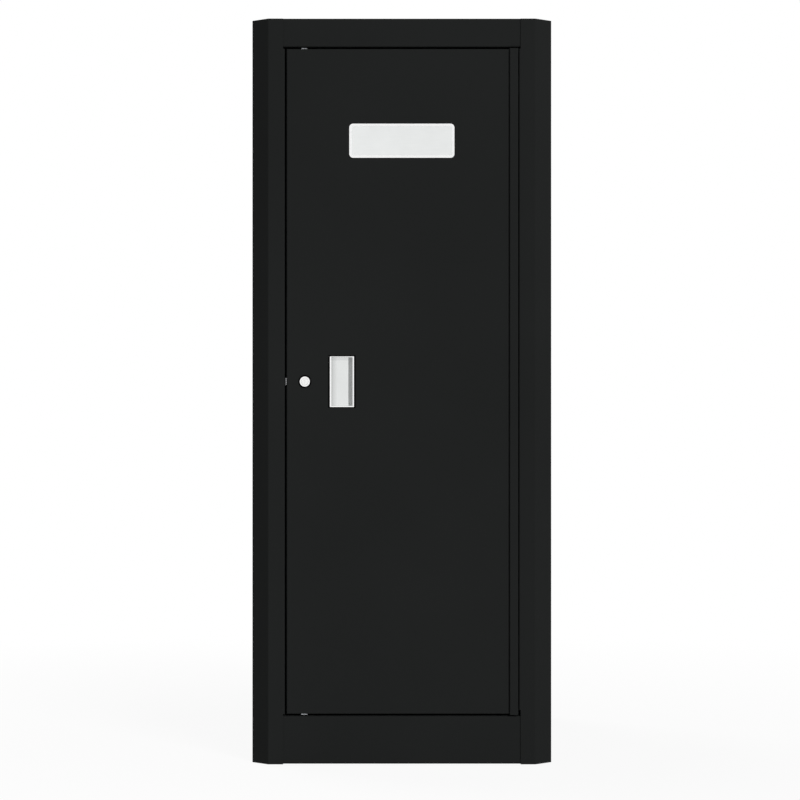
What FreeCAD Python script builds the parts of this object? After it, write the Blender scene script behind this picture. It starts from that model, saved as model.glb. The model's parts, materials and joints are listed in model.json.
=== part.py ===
import FreeCAD, Part
import os
import Sketcher

# Tool chest side locker: a welded steel cabinet with one hinged door, a
# three-point lock and three adjustable shelves. Millimetres, +Z up.
# The door faces -Y. The origin is on the floor, under the middle of the
# locker's overall box.

doc = FreeCAD.newDocument("side_locker")

# ---------------------------------------------------------------- sizes
sheet = doc.addObject("Spreadsheet::Sheet", "sizes")

driving_sizes = [
    # cabinet
    ("width", 457.2),
    ("height", 1134.0),
    ("depth", 635.0),
    ("sheet", 1.5),
    ("bend", 3.0),
    ("fit", 0.2),
    ("corner_chamfer", 25.4),
    ("post_seam", 0.3),
    ("seam_share", 0.8),
    ("frame_depth", 27.5),
    ("post_width", 50.6),
    ("top_rail_height", 43.3),
    ("opening_bottom", 73.6),
    ("post_bend", 2.0),
    ("rail_notch", 2.6),
    ("corner_relief", 2.5),
    ("hinge_relief", 9.0),
    ("top_inset", 0.1),
    ("bottom_inset", 0.5),
    ("stop_lip", 12.0),
    ("rail_flange", 25.0),
    ("side_return", 20.0),
    ("deck_flange", 20.0),
    ("floor_flange", 25.0),
    ("base_flange", 40.0),
    ("bead_width", 16.0),
    ("bead_height", 1.2),
    ("bead_offset", 110.0),
    ("bead_margin", 90.0),
    # side mounting holes
    ("mount_hole", 4.5),
    ("mount_spacing_y", 457.2),
    ("mount_spacing_z", 762.0),
    ("mount_low", 200.0),
    # shelves
    ("shelf_sheet", 1.2),
    ("shelf_flange", 20.0),
    ("shelf_setback", 62.0),
    ("shelf_back_gap", 10.0),
    ("shelf_side_gap", 2.0),
    ("standard_width", 19.0),
    ("standard_depth", 5.0),
    ("standard_sheet", 1.2),
    ("standard_front", 130.0),
    ("standard_back", 60.0),
    ("standard_lift", 20.0),
    ("slot_pitch", 25.4),
    ("slot_height", 3.0),
    ("slot_width", 10.0),
    ("slot_play", 0.3),
    ("clip_sheet", 1.5),
    ("clip_tongue", 14.0),
    ("clip_drop", 8.0),
    ("lower_shelf_share", 0.24),
    ("middle_shelf_share", 0.5),
    ("upper_shelf_share", 0.74),
    # door
    ("door_sheet", 1.2),
    ("door_depth", 22.0),
    ("door_bend", 2.0),
    ("door_lip", 12.0),
    ("gap_side", 2.6),
    ("gap_top", 2.8),
    ("gap_bottom", 3.0),
    ("stiffener_centre", 20.0),
    ("stiffener_crown", 70.0),
    ("stiffener_brim", 15.0),
    ("stiffener_depth", 17.0),
    ("bumper_radius", 4.5),
    ("bumper_spread", 240.0),
    ("bumper_gap", 0.3),
    # hinge
    ("strip_width", 12.9),
    ("strip_gap", 1.1),
    ("strip_seam", 0.8),
    ("strip_end_gap", 2.0),
    ("strip_proud", 3.5),
    ("leaf_sheet", 1.2),
    ("leaf_reach", 18.0),
    ("leaf_screw", 10.8),
    ("pin_setback", 0.7),
    ("pin_radius", 1.6),
    ("pin_play", 0.05),
    ("knuckle_wall", 0.95),
    ("knuckle_pairs", 20),
    ("knuckle_play", 0.4),
    ("swing_room", 7.5),
    ("screw_count", 10),
    ("screw_radius", 2.0),
    ("screw_head", 3.6),
    ("screw_play", 0.05),
    ("rivet_head", 1.0),
    ("rivet_rows", 8),
    ("crown_share", 0.7),
    ("bend_share", 0.9),
    # lock
    ("lock_height", 582.0),
    ("lock_inset", 27.9),
    ("lock_head", 8.25),
    ("lock_head_proud", 1.6),
    ("lock_body", 7.0),
    ("lock_body_length", 7.5),
    ("lock_play", 0.1),
    ("nut_across", 19.0),
    ("nut_height", 4.5),
    ("plug_radius", 5.5),
    ("plug_play", 0.05),
    ("plug_face_set", 0.3),
    ("tail_width", 6.0),
    ("keyway_width", 1.4),
    ("keyway_length", 6.6),
    ("keyway_depth", 5.0),
    ("crank", 10.0),
    ("crank_pin", 1.6),
    ("yoke_play", 0.6),
    ("yoke_wall", 2.4),
    ("cam_sheet", 2.5),
    ("cam_margin", 1.0),
    ("layer_gap", 0.7),
    ("rod_layer", 10.5),
    ("rod_width", 9.0),
    ("rod_thickness", 3.0),
    ("rod_shift", 1.2),
    ("rod_play", 0.5),
    ("rod_corner_share", 0.08),
    ("tip_show", 2.3),
    ("bolt_width", 11.0),
    ("bolt_thickness", 2.0),
    ("bolt_show", 1.8),
    ("guide_length", 12.0),
    ("guide_wall", 9.0),
    ("guide_back", 2.4),
    ("guide_near", 120.0),
    ("guide_end", 75.9),
    # pull
    ("pull_width", 37.7),
    ("pull_height", 77.8),
    ("pull_inset", 84.3),
    ("pull_rim", 2.8),
    ("pull_end_rim", 2.2),
    ("pull_wall", 1.2),
    ("pull_proud", 1.2),
    ("pull_depth", 14.0),
    ("pull_slope", 5.6),
    ("pull_play", 0.3),
    # badge
    ("badge_width", 160.0),
    ("badge_height", 52.0),
    ("badge_thickness", 2.4),
    ("badge_drop", 139.9),
    ("badge_corner", 6.0),
]

for row, (alias, number) in enumerate(driving_sizes, start=1):
    sheet.set(f"A{row}", alias)
    sheet.set(f"B{row}", str(number))
    sheet.setAlias(f"B{row}", alias)
doc.recompute()


def value(expression):
    """Number that an expression on the sheet stands for."""
    return float(sheet.evalExpression(expression))


# ------------------------------------------------------ shared places
# Each is an expression on the sheet, in brackets so that it can be used
# inside another one.
t = "sizes.sheet"
front = "(-(sizes.depth + sizes.rivet_head - sizes.strip_proud) / 2)"
back = f"({front} + sizes.depth)"
half = "(sizes.width / 2)"
side_inner = f"({half} - {t})"
post_inner = f"({half} - sizes.post_width)"
opening_low = "sizes.opening_bottom"
opening_high = "(sizes.height - sizes.top_rail_height)"
frame_top = "(sizes.height - sizes.top_inset)"
frame_low = "sizes.bottom_inset"
frame_back = f"({front} + sizes.frame_depth)"
back_sheet_front = f"({back} - 2 * {t})"
inner_bend = f"(sizes.bend - {t})"

strip_right = f"({post_inner} - sizes.strip_gap)"
strip_left = f"({strip_right} - sizes.strip_width)"
door_right = f"({strip_left} - sizes.strip_seam)"
door_left = f"(-{post_inner} + sizes.gap_side)"
door_low = f"({opening_low} + sizes.gap_bottom)"
door_high = f"({opening_high} - sizes.gap_top)"
door_back = f"({front} + sizes.door_depth)"
skin_back = f"({front} + sizes.door_sheet)"

pin_x = f"(({strip_left} + {strip_right}) / 2)"
pin_y = f"({front} + sizes.pin_setback)"
knuckle_radius = "(sizes.pin_radius + sizes.pin_play + sizes.knuckle_wall)"
strip_low = f"({opening_low} + sizes.strip_end_gap)"
strip_high = f"({opening_high} - sizes.strip_end_gap)"
knuckle_pitch = f"(({strip_high} - {strip_low}) / (2 * sizes.knuckle_pairs))"

lock_x = f"({door_left} + sizes.lock_inset)"
lock_z = "sizes.lock_height"
rod_x = f"({lock_x} - sizes.rod_shift)"
rod_front = f"({front} + sizes.rod_layer)"
rod_back = f"({rod_front} + sizes.rod_thickness)"
cam_front = f"({rod_back} + sizes.layer_gap)"
cam_back = f"({cam_front} + sizes.cam_sheet)"
bolt_front = f"({cam_back} + sizes.layer_gap)"
bolt_back = f"({bolt_front} + sizes.bolt_thickness)"
crank_reach = "(sizes.crank * sqrt(2) / 2)"

# Floor of the shelf bay, the shelf standards and their slots
standard_low = f"({opening_low} + sizes.standard_lift)"
slot_count = f"floor(({opening_high} - {standard_low} - sizes.standard_lift) / sizes.slot_pitch)"
standard_high = f"({standard_low} + {slot_count} * sizes.slot_pitch)"
standard_face = f"({side_inner} - sizes.standard_depth)"
standard_rows = {
    "front": f"({front} + sizes.standard_front)",
    "back": f"({back} - sizes.standard_back)",
}
shelf_slots = {
    "lower": f"round({slot_count} * sizes.lower_shelf_share)",
    "middle": f"round({slot_count} * sizes.middle_shelf_share)",
    "upper": f"round({slot_count} * sizes.upper_shelf_share)",
}


def slot_middle(slot):
    return f"({standard_low} + ({slot} + 0.5) * sizes.slot_pitch)"


# ----------------------------------------------------------- modelling
def new_body(label):
    body = doc.addObject("PartDesign::Body", label)
    body.Label = label
    return body


def new_sketch(body, plane, level):
    """Sketch on one of the body's own planes, moved along that plane's axis.

    plane is XY, XZ or YZ; level is the expression for Z, Y or X.
    """
    for feature in body.Origin.OriginFeatures:
        if feature.Role == f"{plane}_Plane":
            support = feature
    sketch = body.newObject("Sketcher::SketchObject", f"{body.Label}_sketch")
    sketch.AttachmentSupport = [(support, "")]
    sketch.MapMode = "FlatFace"
    sign = "-" if plane == "XZ" else ""
    sketch.setExpression("AttachmentOffset.Base.z", f"{sign}({level})")
    return sketch


def draw_outline(sketch, corners):
    """Closed outline of straight lines through corners given as expressions."""
    spots = [(value(a), value(b)) for a, b in corners]
    first = sketch.GeometryCount
    lines = []
    for here, there in zip(spots, spots[1:] + spots[:1]):
        lines.append(Part.LineSegment(FreeCAD.Vector(*here, 0), FreeCAD.Vector(*there, 0)))
    sketch.addGeometry(lines, False)
    for number, (corner, spot) in enumerate(zip(corners, spots)):
        line = first + number
        following = first + (number + 1) % len(corners)
        sketch.addConstraint(Sketcher.Constraint("Coincident", line, 2, following, 1))
        for kind, expression, place in zip(("DistanceX", "DistanceY"), corner, spot):
            index = sketch.addConstraint(Sketcher.Constraint(kind, -1, 1, line, 1, place))
            sketch.setExpression(f"Constraints[{index}]", expression)


def draw_circle(sketch, across, up, radius):
    centre = FreeCAD.Vector(value(across), value(up), 0)
    circle = sketch.addGeometry(Part.Circle(centre, FreeCAD.Vector(0, 0, 1), value(radius)), False)
    for kind, expression in (("DistanceX", across), ("DistanceY", up)):
        index = sketch.addConstraint(Sketcher.Constraint(kind, -1, 1, circle, 3, value(expression)))
        sketch.setExpression(f"Constraints[{index}]", expression)
    index = sketch.addConstraint(Sketcher.Constraint("Radius", circle, value(radius)))
    sketch.setExpression(f"Constraints[{index}]", radius)


def rectangle(left, right, low, high):
    return [(left, low), (right, low), (right, high), (left, high)]


def pad(body, plane, low, high, *shapes):
    """Add material between two levels along the plane's axis."""
    sketch = new_sketch(body, plane, high if plane == "XZ" else low)
    draw_shapes(sketch, shapes)
    feature = body.newObject("PartDesign::Pad", f"{body.Label}_pad")
    feature.Profile = sketch
    feature.setExpression("Length", f"{high} - ({low})")
    return feature


def pocket(body, plane, low, high, *shapes):
    """Remove material between two levels along the plane's axis."""
    sketch = new_sketch(body, plane, low if plane == "XZ" else high)
    draw_shapes(sketch, shapes)
    feature = body.newObject("PartDesign::Pocket", f"{body.Label}_pocket")
    feature.Profile = sketch
    feature.setExpression("Length", f"{high} - ({low})")
    return feature


def draw_shapes(sketch, shapes):
    """Draw each shape: a list of corners, or a circle (across, up, radius)."""
    for shape in shapes:
        if isinstance(shape, tuple):
            draw_circle(sketch, *shape)
        else:
            draw_outline(sketch, shape)


def repeat_up(body, features, pitch, count):
    """Repeat features up the Z axis."""
    for feature in body.Origin.OriginFeatures:
        if feature.Role == "Z_Axis":
            axis = feature
    pattern = body.newObject("PartDesign::LinearPattern", f"{body.Label}_row")
    pattern.Originals = features
    pattern.Direction = (axis, [""])
    pattern.setExpression("Length", f"({count} - 1) * {pitch}")
    pattern.setExpression("Occurrences", count)
    body.Tip = pattern
    return pattern


def round_edges(body, radius, chosen):
    """Round the edges that chosen(edge) picks, such as the bends of a sheet."""
    doc.recompute()
    names = []
    for number, edge in enumerate(body.Shape.Edges, start=1):
        if chosen(edge):
            names.append(f"Edge{number}")
    if not names:
        raise RuntimeError(f"{body.Label}: no edge to round")
    base = body.Tip
    fillet = body.newObject("PartDesign::Fillet", f"{body.Label}_bend")
    fillet.Base = (base, names)
    fillet.setExpression("Radius", radius)
    body.Tip = fillet


def close(first, second):
    return abs(first - second) < 0.001


def along(axis, *spots):
    """Choose the edges that run along an axis through the given places.

    A place is a pair of expressions for the other two coordinates, in
    X, Y, Z order.
    """
    places = [(value(a), value(b)) for a, b in spots]
    others = [number for number in range(3) if number != "XYZ".index(axis)]

    def chosen(edge):
        ends = [vertex.Point for vertex in edge.Vertexes]
        if len(ends) != 2:
            return False
        for place in places:
            if all(close(end[others[0]], place[0]) and close(end[others[1]], place[1]) for end in ends):
                return True
        return False

    return chosen


def at_level(axis, level):
    """Choose the edges that lie in the plane where axis equals level."""
    number = "XYZ".index(axis)
    height = value(level)

    def chosen(edge):
        return all(close(vertex.Point[number], height) for vertex in edge.Vertexes)

    return chosen


def mirrored(side, corners):
    """Corners of an outline in X and something, on the right (1) or left (-1)."""
    return [(f"{side} * {across}", other) for across, other in corners]


# ------------------------------------------------------- corner posts
def corner_post(label, side, low_relief):
    """Formed post: side flange, chamfer, front flat, return and back web."""
    miter = f"((sqrt(2) - 1) * {t})"
    chamfer_back = f"({front} + sizes.corner_chamfer)"
    chamfer_x = f"({half} - sizes.corner_chamfer)"
    notch_x = f"({post_inner} + sizes.rail_notch)"
    skin = [
        (half, frame_back),
        (half, chamfer_back),
        (chamfer_x, front),
        (notch_x, front),
        (notch_x, f"{front} + {t}"),
        (f"({chamfer_x} - {miter})", f"{front} + {t}"),
        (side_inner, f"{chamfer_back} + {miter}"),
        (side_inner, frame_back),
    ]
    # the web stops short of the chamfer's inner face, which a thick sheet brings closer
    chamfer_reach = f"sizes.corner_chamfer + {miter} + {t} - sizes.frame_depth"
    web_end = f"({side_inner} - max(sizes.post_seam; {chamfer_reach} + sizes.seam_share * sizes.post_seam))"
    returned = [
        (f"({notch_x} + {t})", front),
        (post_inner, front),
        (post_inner, frame_back),
        (web_end, frame_back),
        (web_end, f"{frame_back} - {t}"),
        (f"({post_inner} + {t})", f"{frame_back} - {t}"),
        (f"({post_inner} + {t})", f"{front} + {t}"),
        (f"({notch_x} + {t})", f"{front} + {t}"),
    ]
    body = new_body(label)
    pad(body, "XY", "0", "sizes.height", mirrored(side, skin))
    return_low = f"({opening_low} + {low_relief})"
    return_high = f"({opening_high} - sizes.corner_relief)"
    pad(body, "XY", return_low, return_high, mirrored(side, returned))
    outer = mirrored(side, [skin[1], skin[2], returned[2]])
    inner = mirrored(side, [skin[5], skin[6], returned[5]])
    round_edges(body, "sizes.bend", along("Z", *outer))
    round_edges(body, inner_bend, along("Z", *inner))
    # the bend beside the door is tighter, so that it ends inside the notch
    round_edges(body, "sizes.post_bend", along("Z", *mirrored(side, [returned[1]])))
    round_edges(body, f"(sizes.post_bend - {t})", along("Z", *mirrored(side, [returned[6]])))
    return body


post_left = corner_post("corner_post_left", -1, "sizes.corner_relief")
post_right = corner_post("corner_post_right", 1, "sizes.hinge_relief")

# Keeper slot for the side bolt, through the return of the left post
keeper_low = f"({lock_z} - sizes.bolt_width / 2 - sizes.rod_play)"
keeper_high = f"({lock_z} + sizes.bolt_width / 2 + sizes.rod_play)"
bolt_slot = rectangle(
    f"({bolt_front} - sizes.rod_play)",
    f"({bolt_back} + sizes.rod_play)",
    keeper_low,
    keeper_high,
)
pocket(post_left, "YZ", f"(-{post_inner} - {t})", f"(-{post_inner})", bolt_slot)

# Screw holes for the hinge, through the return of the right post
screw_pitch = f"(({strip_high} - {strip_low}) / sizes.screw_count)"
first_screw = f"({strip_low} + {screw_pitch} / 2)"
frame_screw_y = f"(({pin_y} + sizes.swing_room + sizes.leaf_sheet + {frame_back} - {t}) / 2)"
screw_hole = "(sizes.screw_radius + sizes.screw_play)"
holes = pocket(
    post_right, "YZ", post_inner, f"({post_inner} + {t})", (frame_screw_y, first_screw, screw_hole)
)
repeat_up(post_right, [holes], screw_pitch, "sizes.screw_count")


# -------------------------------------------------------- front rails
rail_end = f"({half} - sizes.corner_chamfer - {t} - sizes.post_seam)"
lip_end = f"({post_inner} - sizes.post_seam)"
rail_face = f"({front} + {t})"
rail_inner = f"({front} + 2 * {t})"
lip_front = f"({frame_back} - {t})"


def trim_lip(body, low, high):
    """Cut the stop lip short at both ends, clear of the corner posts."""
    for side in (-1, 1):
        near = f"{side} * {lip_end}"
        far = f"{side} * ({rail_end} + {t})"
        ends = (near, far) if side > 0 else (far, near)
        pocket(body, "XY", low, high, rectangle(*ends, f"({lip_front} - {t})", f"({frame_back} + {t})"))


rod_slot = rectangle(
    f"({rod_x} - sizes.rod_width / 2 - sizes.rod_play)",
    f"({rod_x} + sizes.rod_width / 2 + sizes.rod_play)",
    f"({rod_front} - sizes.rod_play)",
    f"({rod_back} + sizes.rod_play)",
)

top_rail = new_body("top_rail")
pad(top_rail, "YZ", f"(-{rail_end})", rail_end, [
    (rail_face, frame_top),
    (rail_face, opening_high),
    (lip_front, opening_high),
    (lip_front, f"({opening_high} - sizes.stop_lip)"),
    (frame_back, f"({opening_high} - sizes.stop_lip)"),
    (frame_back, f"({opening_high} + {t})"),
    (rail_inner, f"({opening_high} + {t})"),
    (rail_inner, frame_top),
])
trim_lip(top_rail, f"({opening_high} - sizes.stop_lip - {t})", opening_high)
round_edges(top_rail, "sizes.bend", along(
    "X",
    (rail_face, opening_high),
    (frame_back, f"{opening_high} + {t}"),
))
round_edges(top_rail, inner_bend, along(
    "X",
    (rail_inner, f"{opening_high} + {t}"),
    (lip_front, opening_high),
))
pocket(top_rail, "XY", opening_high, f"({opening_high} + {t})", rod_slot)

bottom_rail = new_body("bottom_rail")
pad(bottom_rail, "YZ", f"(-{rail_end})", rail_end, [
    (rail_face, frame_low),
    (rail_face, opening_low),
    (lip_front, opening_low),
    (lip_front, f"({opening_low} + sizes.stop_lip)"),
    (frame_back, f"({opening_low} + sizes.stop_lip)"),
    (frame_back, f"({opening_low} - {t})"),
    (rail_inner, f"({opening_low} - {t})"),
    (rail_inner, f"({frame_low} + {t})"),
    (f"({rail_face} + sizes.rail_flange)", f"({frame_low} + {t})"),
    (f"({rail_face} + sizes.rail_flange)", frame_low),
])
trim_lip(bottom_rail, opening_low, f"({opening_low} + sizes.stop_lip + {t})")
round_edges(bottom_rail, "sizes.bend", along(
    "X",
    (rail_face, opening_low),
    (rail_face, frame_low),
    (frame_back, f"{opening_low} - {t}"),
))
round_edges(bottom_rail, inner_bend, along(
    "X",
    (rail_inner, f"{opening_low} - {t}"),
    (rail_inner, f"{frame_low} + {t}"),
    (lip_front, opening_low),
))
pocket(bottom_rail, "XY", f"({opening_low} - {t})", opening_low, rod_slot)


# -------------------------------------------------------- side panels
side_front = f"({frame_back} + sizes.post_seam)"


def side_panel(label, side):
    """Flat side with a rear return and the four holes that hang the locker."""
    outline = [
        (half, side_front),
        (half, back),
        (f"({half} - sizes.side_return)", back),
        (f"({half} - sizes.side_return)", f"({back} - {t})"),
        (side_inner, f"({back} - {t})"),
        (side_inner, side_front),
    ]
    body = new_body(label)
    pad(body, "XY", frame_low, frame_top, mirrored(side, outline))
    round_edges(body, "sizes.bend", along("Z", *mirrored(side, [outline[1]])))
    round_edges(body, inner_bend, along("Z", *mirrored(side, [outline[4]])))
    spots = []
    for side_y in ("-sizes.mount_spacing_y / 2", "sizes.mount_spacing_y / 2"):
        for height in ("sizes.mount_low", "(sizes.mount_low + sizes.mount_spacing_z)"):
            spots.append((side_y, height, "sizes.mount_hole"))
    sides = sorted((f"{side} * {half}", f"{side} * {side_inner}"), key=value)
    pocket(body, "YZ", *sides, *spots)


side_panel("side_panel_left", -1)
side_panel("side_panel_right", 1)


# ------------------------------------------- top, floor and back panels
deck_under = f"({frame_top} - {t})"
deck_side = f"({side_inner} - sizes.fit)"
deck_front = f"({rail_inner} + sizes.fit)"
deck_back = f"({back_sheet_front} - sizes.fit)"
deck_miter = f"(({t} + sizes.fit) * sqrt(2))"
deck_corner_y = f"({front} + sizes.corner_chamfer - {t} - sizes.fit + {deck_miter})"
deck_corner_x = f"({half} - sizes.corner_chamfer - {deck_miter} + 2 * {t} + sizes.fit)"
top_panel = new_body("top_panel")
pad(top_panel, "XY", deck_under, frame_top, [
    (deck_corner_x, deck_front),
    (deck_side, deck_corner_y),
    (deck_side, deck_back),
    (f"-{deck_side}", deck_back),
    (f"-{deck_side}", deck_corner_y),
    (f"-{deck_corner_x}", deck_front),
])
round_edges(top_panel, f"sizes.bend_share * {t}", at_level("Z", frame_top))

# Bars on edge under the deck, one along each side, which carry it
top_frame = new_body("top_frame")
bar_end_y = f"({deck_back} - {t} - sizes.post_seam)"
pad(
    top_frame,
    "XY",
    f"({frame_top} - sizes.deck_flange)",
    deck_under,
    rectangle(f"({deck_side} - {t})", deck_side, deck_corner_y, bar_end_y),
    rectangle(f"(-{deck_side})", f"(-{deck_side} + {t})", deck_corner_y, bar_end_y),
    rectangle(f"(-{deck_side})", deck_side, f"({deck_back} - {t})", deck_back),
    rectangle(f"(-{deck_corner_x})", deck_corner_x, deck_front, f"({deck_front} + {t})"),
)


def tray(body, left, right, near, far, low, high, wall):
    """Flat tray with its flanges turned down and its top edges bent."""
    pad(body, "XY", low, high, rectangle(left, right, near, far))
    round_edges(body, f"2 * {wall}", at_level("Z", high))
    across = (f"({left} + {wall})", f"({right} - {wall})")
    along_y = (f"({near} + {wall})", f"({far} - {wall})")
    pocket(body, "XY", low, f"({high} - {wall})", rectangle(*across, *along_y))


floor_panel = new_body("floor_panel")
tray(
    floor_panel,
    f"(-{deck_side})",
    deck_side,
    frame_back,
    deck_back,
    f"({opening_low} - sizes.floor_flange)",
    opening_low,
    t,
)

back_panel = new_body("back_panel")
back_edge = f"({side_inner} - sizes.bend)"
pad(back_panel, "XZ", back_sheet_front, f"({back} - {t})", rectangle(
    f"(-{back_edge})", back_edge, frame_low, frame_top
))
bead_crown = f"{back} - {t} + sizes.bead_height"
for side in (-1, 1):
    middle = f"({side} * sizes.bead_offset)"
    pad(back_panel, "XZ", f"({back} - {t} - sizes.bead_height / 2)", bead_crown, rectangle(
        f"({middle} - sizes.bead_width / 2)",
        f"({middle} + sizes.bead_width / 2)",
        f"({frame_low} + sizes.bead_margin)",
        f"({frame_top} - sizes.bead_margin)",
    ))
round_edges(back_panel, "sizes.bend_share * sizes.bead_height", at_level("Y", bead_crown))


def base_channel(label, side):
    """Channel under one side of the floor, which stands on the ground."""
    web = f"({deck_side} - {t})"
    top = f"({opening_low} - {t})"
    tip = f"({web} - sizes.base_flange)"
    outline = [
        (web, "0"),
        (web, top),
        (tip, top),
        (tip, f"({top} - {t})"),
        (f"({web} - {t})", f"({top} - {t})"),
        (f"({web} - {t})", t),
        (tip, t),
        (tip, "0"),
    ]
    body = new_body(label)
    pad(body, "XZ", f"({frame_back} + {t})", f"({deck_back} - {t})", mirrored(side, outline))
    round_edges(body, "sizes.bend", along("Y", *mirrored(side, outline[:2])))
    round_edges(body, inner_bend, along("Y", *mirrored(side, outline[4:6])))


base_channel("base_channel_left", -1)
base_channel("base_channel_right", 1)

# Rivets through the rear returns of the sides and the back panel
rivet_x = f"({half} - sizes.side_return / 2)"
rivet_margin = "sizes.bead_margin / 2"
rivet_low = f"({frame_low} + {rivet_margin})"
rivet_pitch = f"(({frame_top} - {frame_low} - sizes.bead_margin) / (sizes.rivet_rows - 1))"
for label in ("side_panel_left", "side_panel_right", "back_panel"):
    body = doc.getObject(label)
    sides = {"side_panel_left": (-1,), "side_panel_right": (1,)}.get(label, (-1, 1))
    spots = [(f"{side} * {rivet_x}", rivet_low, screw_hole) for side in sides]
    depth = (f"({back} - {t})", back) if label != "back_panel" else (back_sheet_front, f"({back} - {t})")
    row = pocket(body, "XZ", *depth, *spots)
    repeat_up(body, [row], rivet_pitch, "sizes.rivet_rows")

back_rivets = new_body("back_rivets")
rivet_parts = []
for side in (-1, 1):
    spot = (f"{side} * {rivet_x}", rivet_low)
    rivet_parts.append(pad(
        back_rivets, "XZ", f"({back_sheet_front} - sizes.rivet_head)", back, (*spot, "sizes.screw_radius")
    ))
    rivet_parts.append(pad(
        back_rivets, "XZ", back, f"({back} + sizes.rivet_head)", (*spot, "sizes.screw_head")
    ))
repeat_up(back_rivets, rivet_parts, rivet_pitch, "sizes.rivet_rows")
round_edges(back_rivets, "sizes.crown_share * sizes.rivet_head", at_level("Y", f"{back} + sizes.rivet_head"))


# ---------------------------------------------- shelves and standards
def shelf_standard(label, side, middle):
    """Slotted strip on the side panel that the shelf clips hook into."""
    wall = "sizes.standard_sheet"
    near = f"({middle} - sizes.standard_width / 2)"
    far = f"({middle} + sizes.standard_width / 2)"
    outline = [
        (side_inner, near),
        (standard_face, near),
        (standard_face, far),
        (side_inner, far),
        (side_inner, f"({far} - {wall})"),
        (f"({standard_face} + {wall})", f"({far} - {wall})"),
        (f"({standard_face} + {wall})", f"({near} + {wall})"),
        (side_inner, f"({near} + {wall})"),
    ]
    body = new_body(label)
    pad(body, "XY", standard_low, standard_high, mirrored(side, outline))
    round_edges(body, f"1.5 * {wall}", along("Z", *mirrored(side, outline[1:3])))
    levels = sorted((f"{side} * {standard_face}", f"{side} * ({standard_face} + {wall})"), key=value)
    first = slot_middle("0")
    slot = pocket(body, "YZ", *levels, rectangle(
        f"({middle} - sizes.slot_width / 2)",
        f"({middle} + sizes.slot_width / 2)",
        f"({first} - sizes.slot_height / 2)",
        f"({first} + sizes.slot_height / 2)",
    ))
    repeat_up(body, [slot], "sizes.slot_pitch", slot_count)


for side, hand in ((-1, "left"), (1, "right")):
    for row, middle in standard_rows.items():
        shelf_standard(f"shelf_standard_{row}_{hand}", side, middle)

hook_half = "(sizes.slot_height / 2 - sizes.slot_play)"
shelf_clips = new_body("shelf_clips")
for slot in shelf_slots.values():
    middle_z = slot_middle(slot)
    outline = [
        (f"({standard_face} + sizes.standard_depth / 2)", f"({middle_z} + {hook_half})"),
        (f"({standard_face} + sizes.standard_depth / 2)", f"({middle_z} - {hook_half})"),
        (standard_face, f"({middle_z} - {hook_half})"),
        (standard_face, f"({middle_z} - sizes.clip_drop)"),
        (f"({standard_face} - sizes.clip_sheet)", f"({middle_z} - sizes.clip_drop)"),
        (f"({standard_face} - sizes.clip_sheet)", f"({middle_z} + {hook_half} - sizes.clip_sheet)"),
        (f"({standard_face} - sizes.clip_tongue)", f"({middle_z} + {hook_half} - sizes.clip_sheet)"),
        (f"({standard_face} - sizes.clip_tongue)", f"({middle_z} + {hook_half})"),
    ]
    clip_half = "(sizes.slot_width / 2 - sizes.slot_play)"
    for middle in standard_rows.values():
        for side in (-1, 1):
            pad(shelf_clips, "XZ", f"({middle} - {clip_half})", f"({middle} + {clip_half})",
                mirrored(side, outline))

shelf_edge = f"({standard_face} - sizes.shelf_side_gap)"
for name, slot in shelf_slots.items():
    shelf_low = f"({slot_middle(slot)} + {hook_half})"
    tray(
        new_body(f"shelf_{name}"),
        f"(-{shelf_edge})",
        shelf_edge,
        f"({front} + sizes.shelf_setback)",
        f"({back_sheet_front} - sizes.shelf_back_gap)",
        shelf_low,
        f"({shelf_low} + sizes.shelf_flange)",
        "sizes.shelf_sheet",
    )

# Rubber bumpers on the stop lips, which the back of the door closes on
bumper_inset = "(sizes.stop_lip / 2 + sizes.bumper_gap)"
door_bumpers = new_body("door_bumpers")
for height in (f"({opening_high} - {bumper_inset})", f"({opening_low} + {bumper_inset})"):
    for side in (-1, 1):
        pad(door_bumpers, "XZ", f"({door_back} + sizes.bumper_gap)", lip_front,
            (f"{side} * sizes.bumper_spread / 2", height, "sizes.bumper_radius"))


# --------------------------------------------------------------- door
door_wall = "sizes.door_sheet"
pull_x = f"({door_left} + sizes.pull_inset)"
pull_left = f"({pull_x} - sizes.pull_width / 2 + sizes.pull_rim)"
pull_right = f"({pull_x} + sizes.pull_width / 2 - sizes.pull_rim)"
pull_low = f"({lock_z} - sizes.pull_height / 2 + sizes.pull_end_rim)"
pull_high = f"({lock_z} + sizes.pull_height / 2 - sizes.pull_end_rim)"
cup_left = f"({pull_left} - sizes.pull_wall)"
cup_right = f"({pull_right} + sizes.pull_wall)"
cup_low = f"({pull_low} - sizes.pull_wall)"
cup_high = f"({pull_high} + sizes.pull_wall)"


def grown(edges, amount):
    """Rectangle from four edges, with each one moved outwards."""
    left, right, low, high = edges
    return rectangle(
        f"({left} - {amount})", f"({right} + {amount})", f"({low} - {amount})", f"({high} + {amount})"
    )


door_edges = (door_left, door_right, door_low, door_high)
door_skin = new_body("door_skin")
pad(door_skin, "XZ", front, door_back, rectangle(*door_edges))
round_edges(door_skin, "sizes.door_bend", at_level("Y", front))
pocket(door_skin, "XZ", f"({door_back} - {door_wall})", door_back, grown(door_edges, "(-sizes.door_lip)"))
pocket(door_skin, "XZ", skin_back, f"({door_back} - {door_wall})", grown(door_edges, f"(-{door_wall})"))
pocket(door_skin, "XZ", front, skin_back, grown((cup_left, cup_right, cup_low, cup_high), "sizes.pull_play"))
pocket(door_skin, "XZ", front, skin_back, (lock_x, lock_z, "(sizes.lock_body + sizes.lock_play)"))
pocket(door_skin, "XY", door_low, f"({door_low} + {door_wall})", rod_slot)
pocket(door_skin, "XY", f"({door_high} - {door_wall})", door_high, rod_slot)
pocket(door_skin, "YZ", door_left, f"({door_left} + {door_wall})", bolt_slot)
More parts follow.
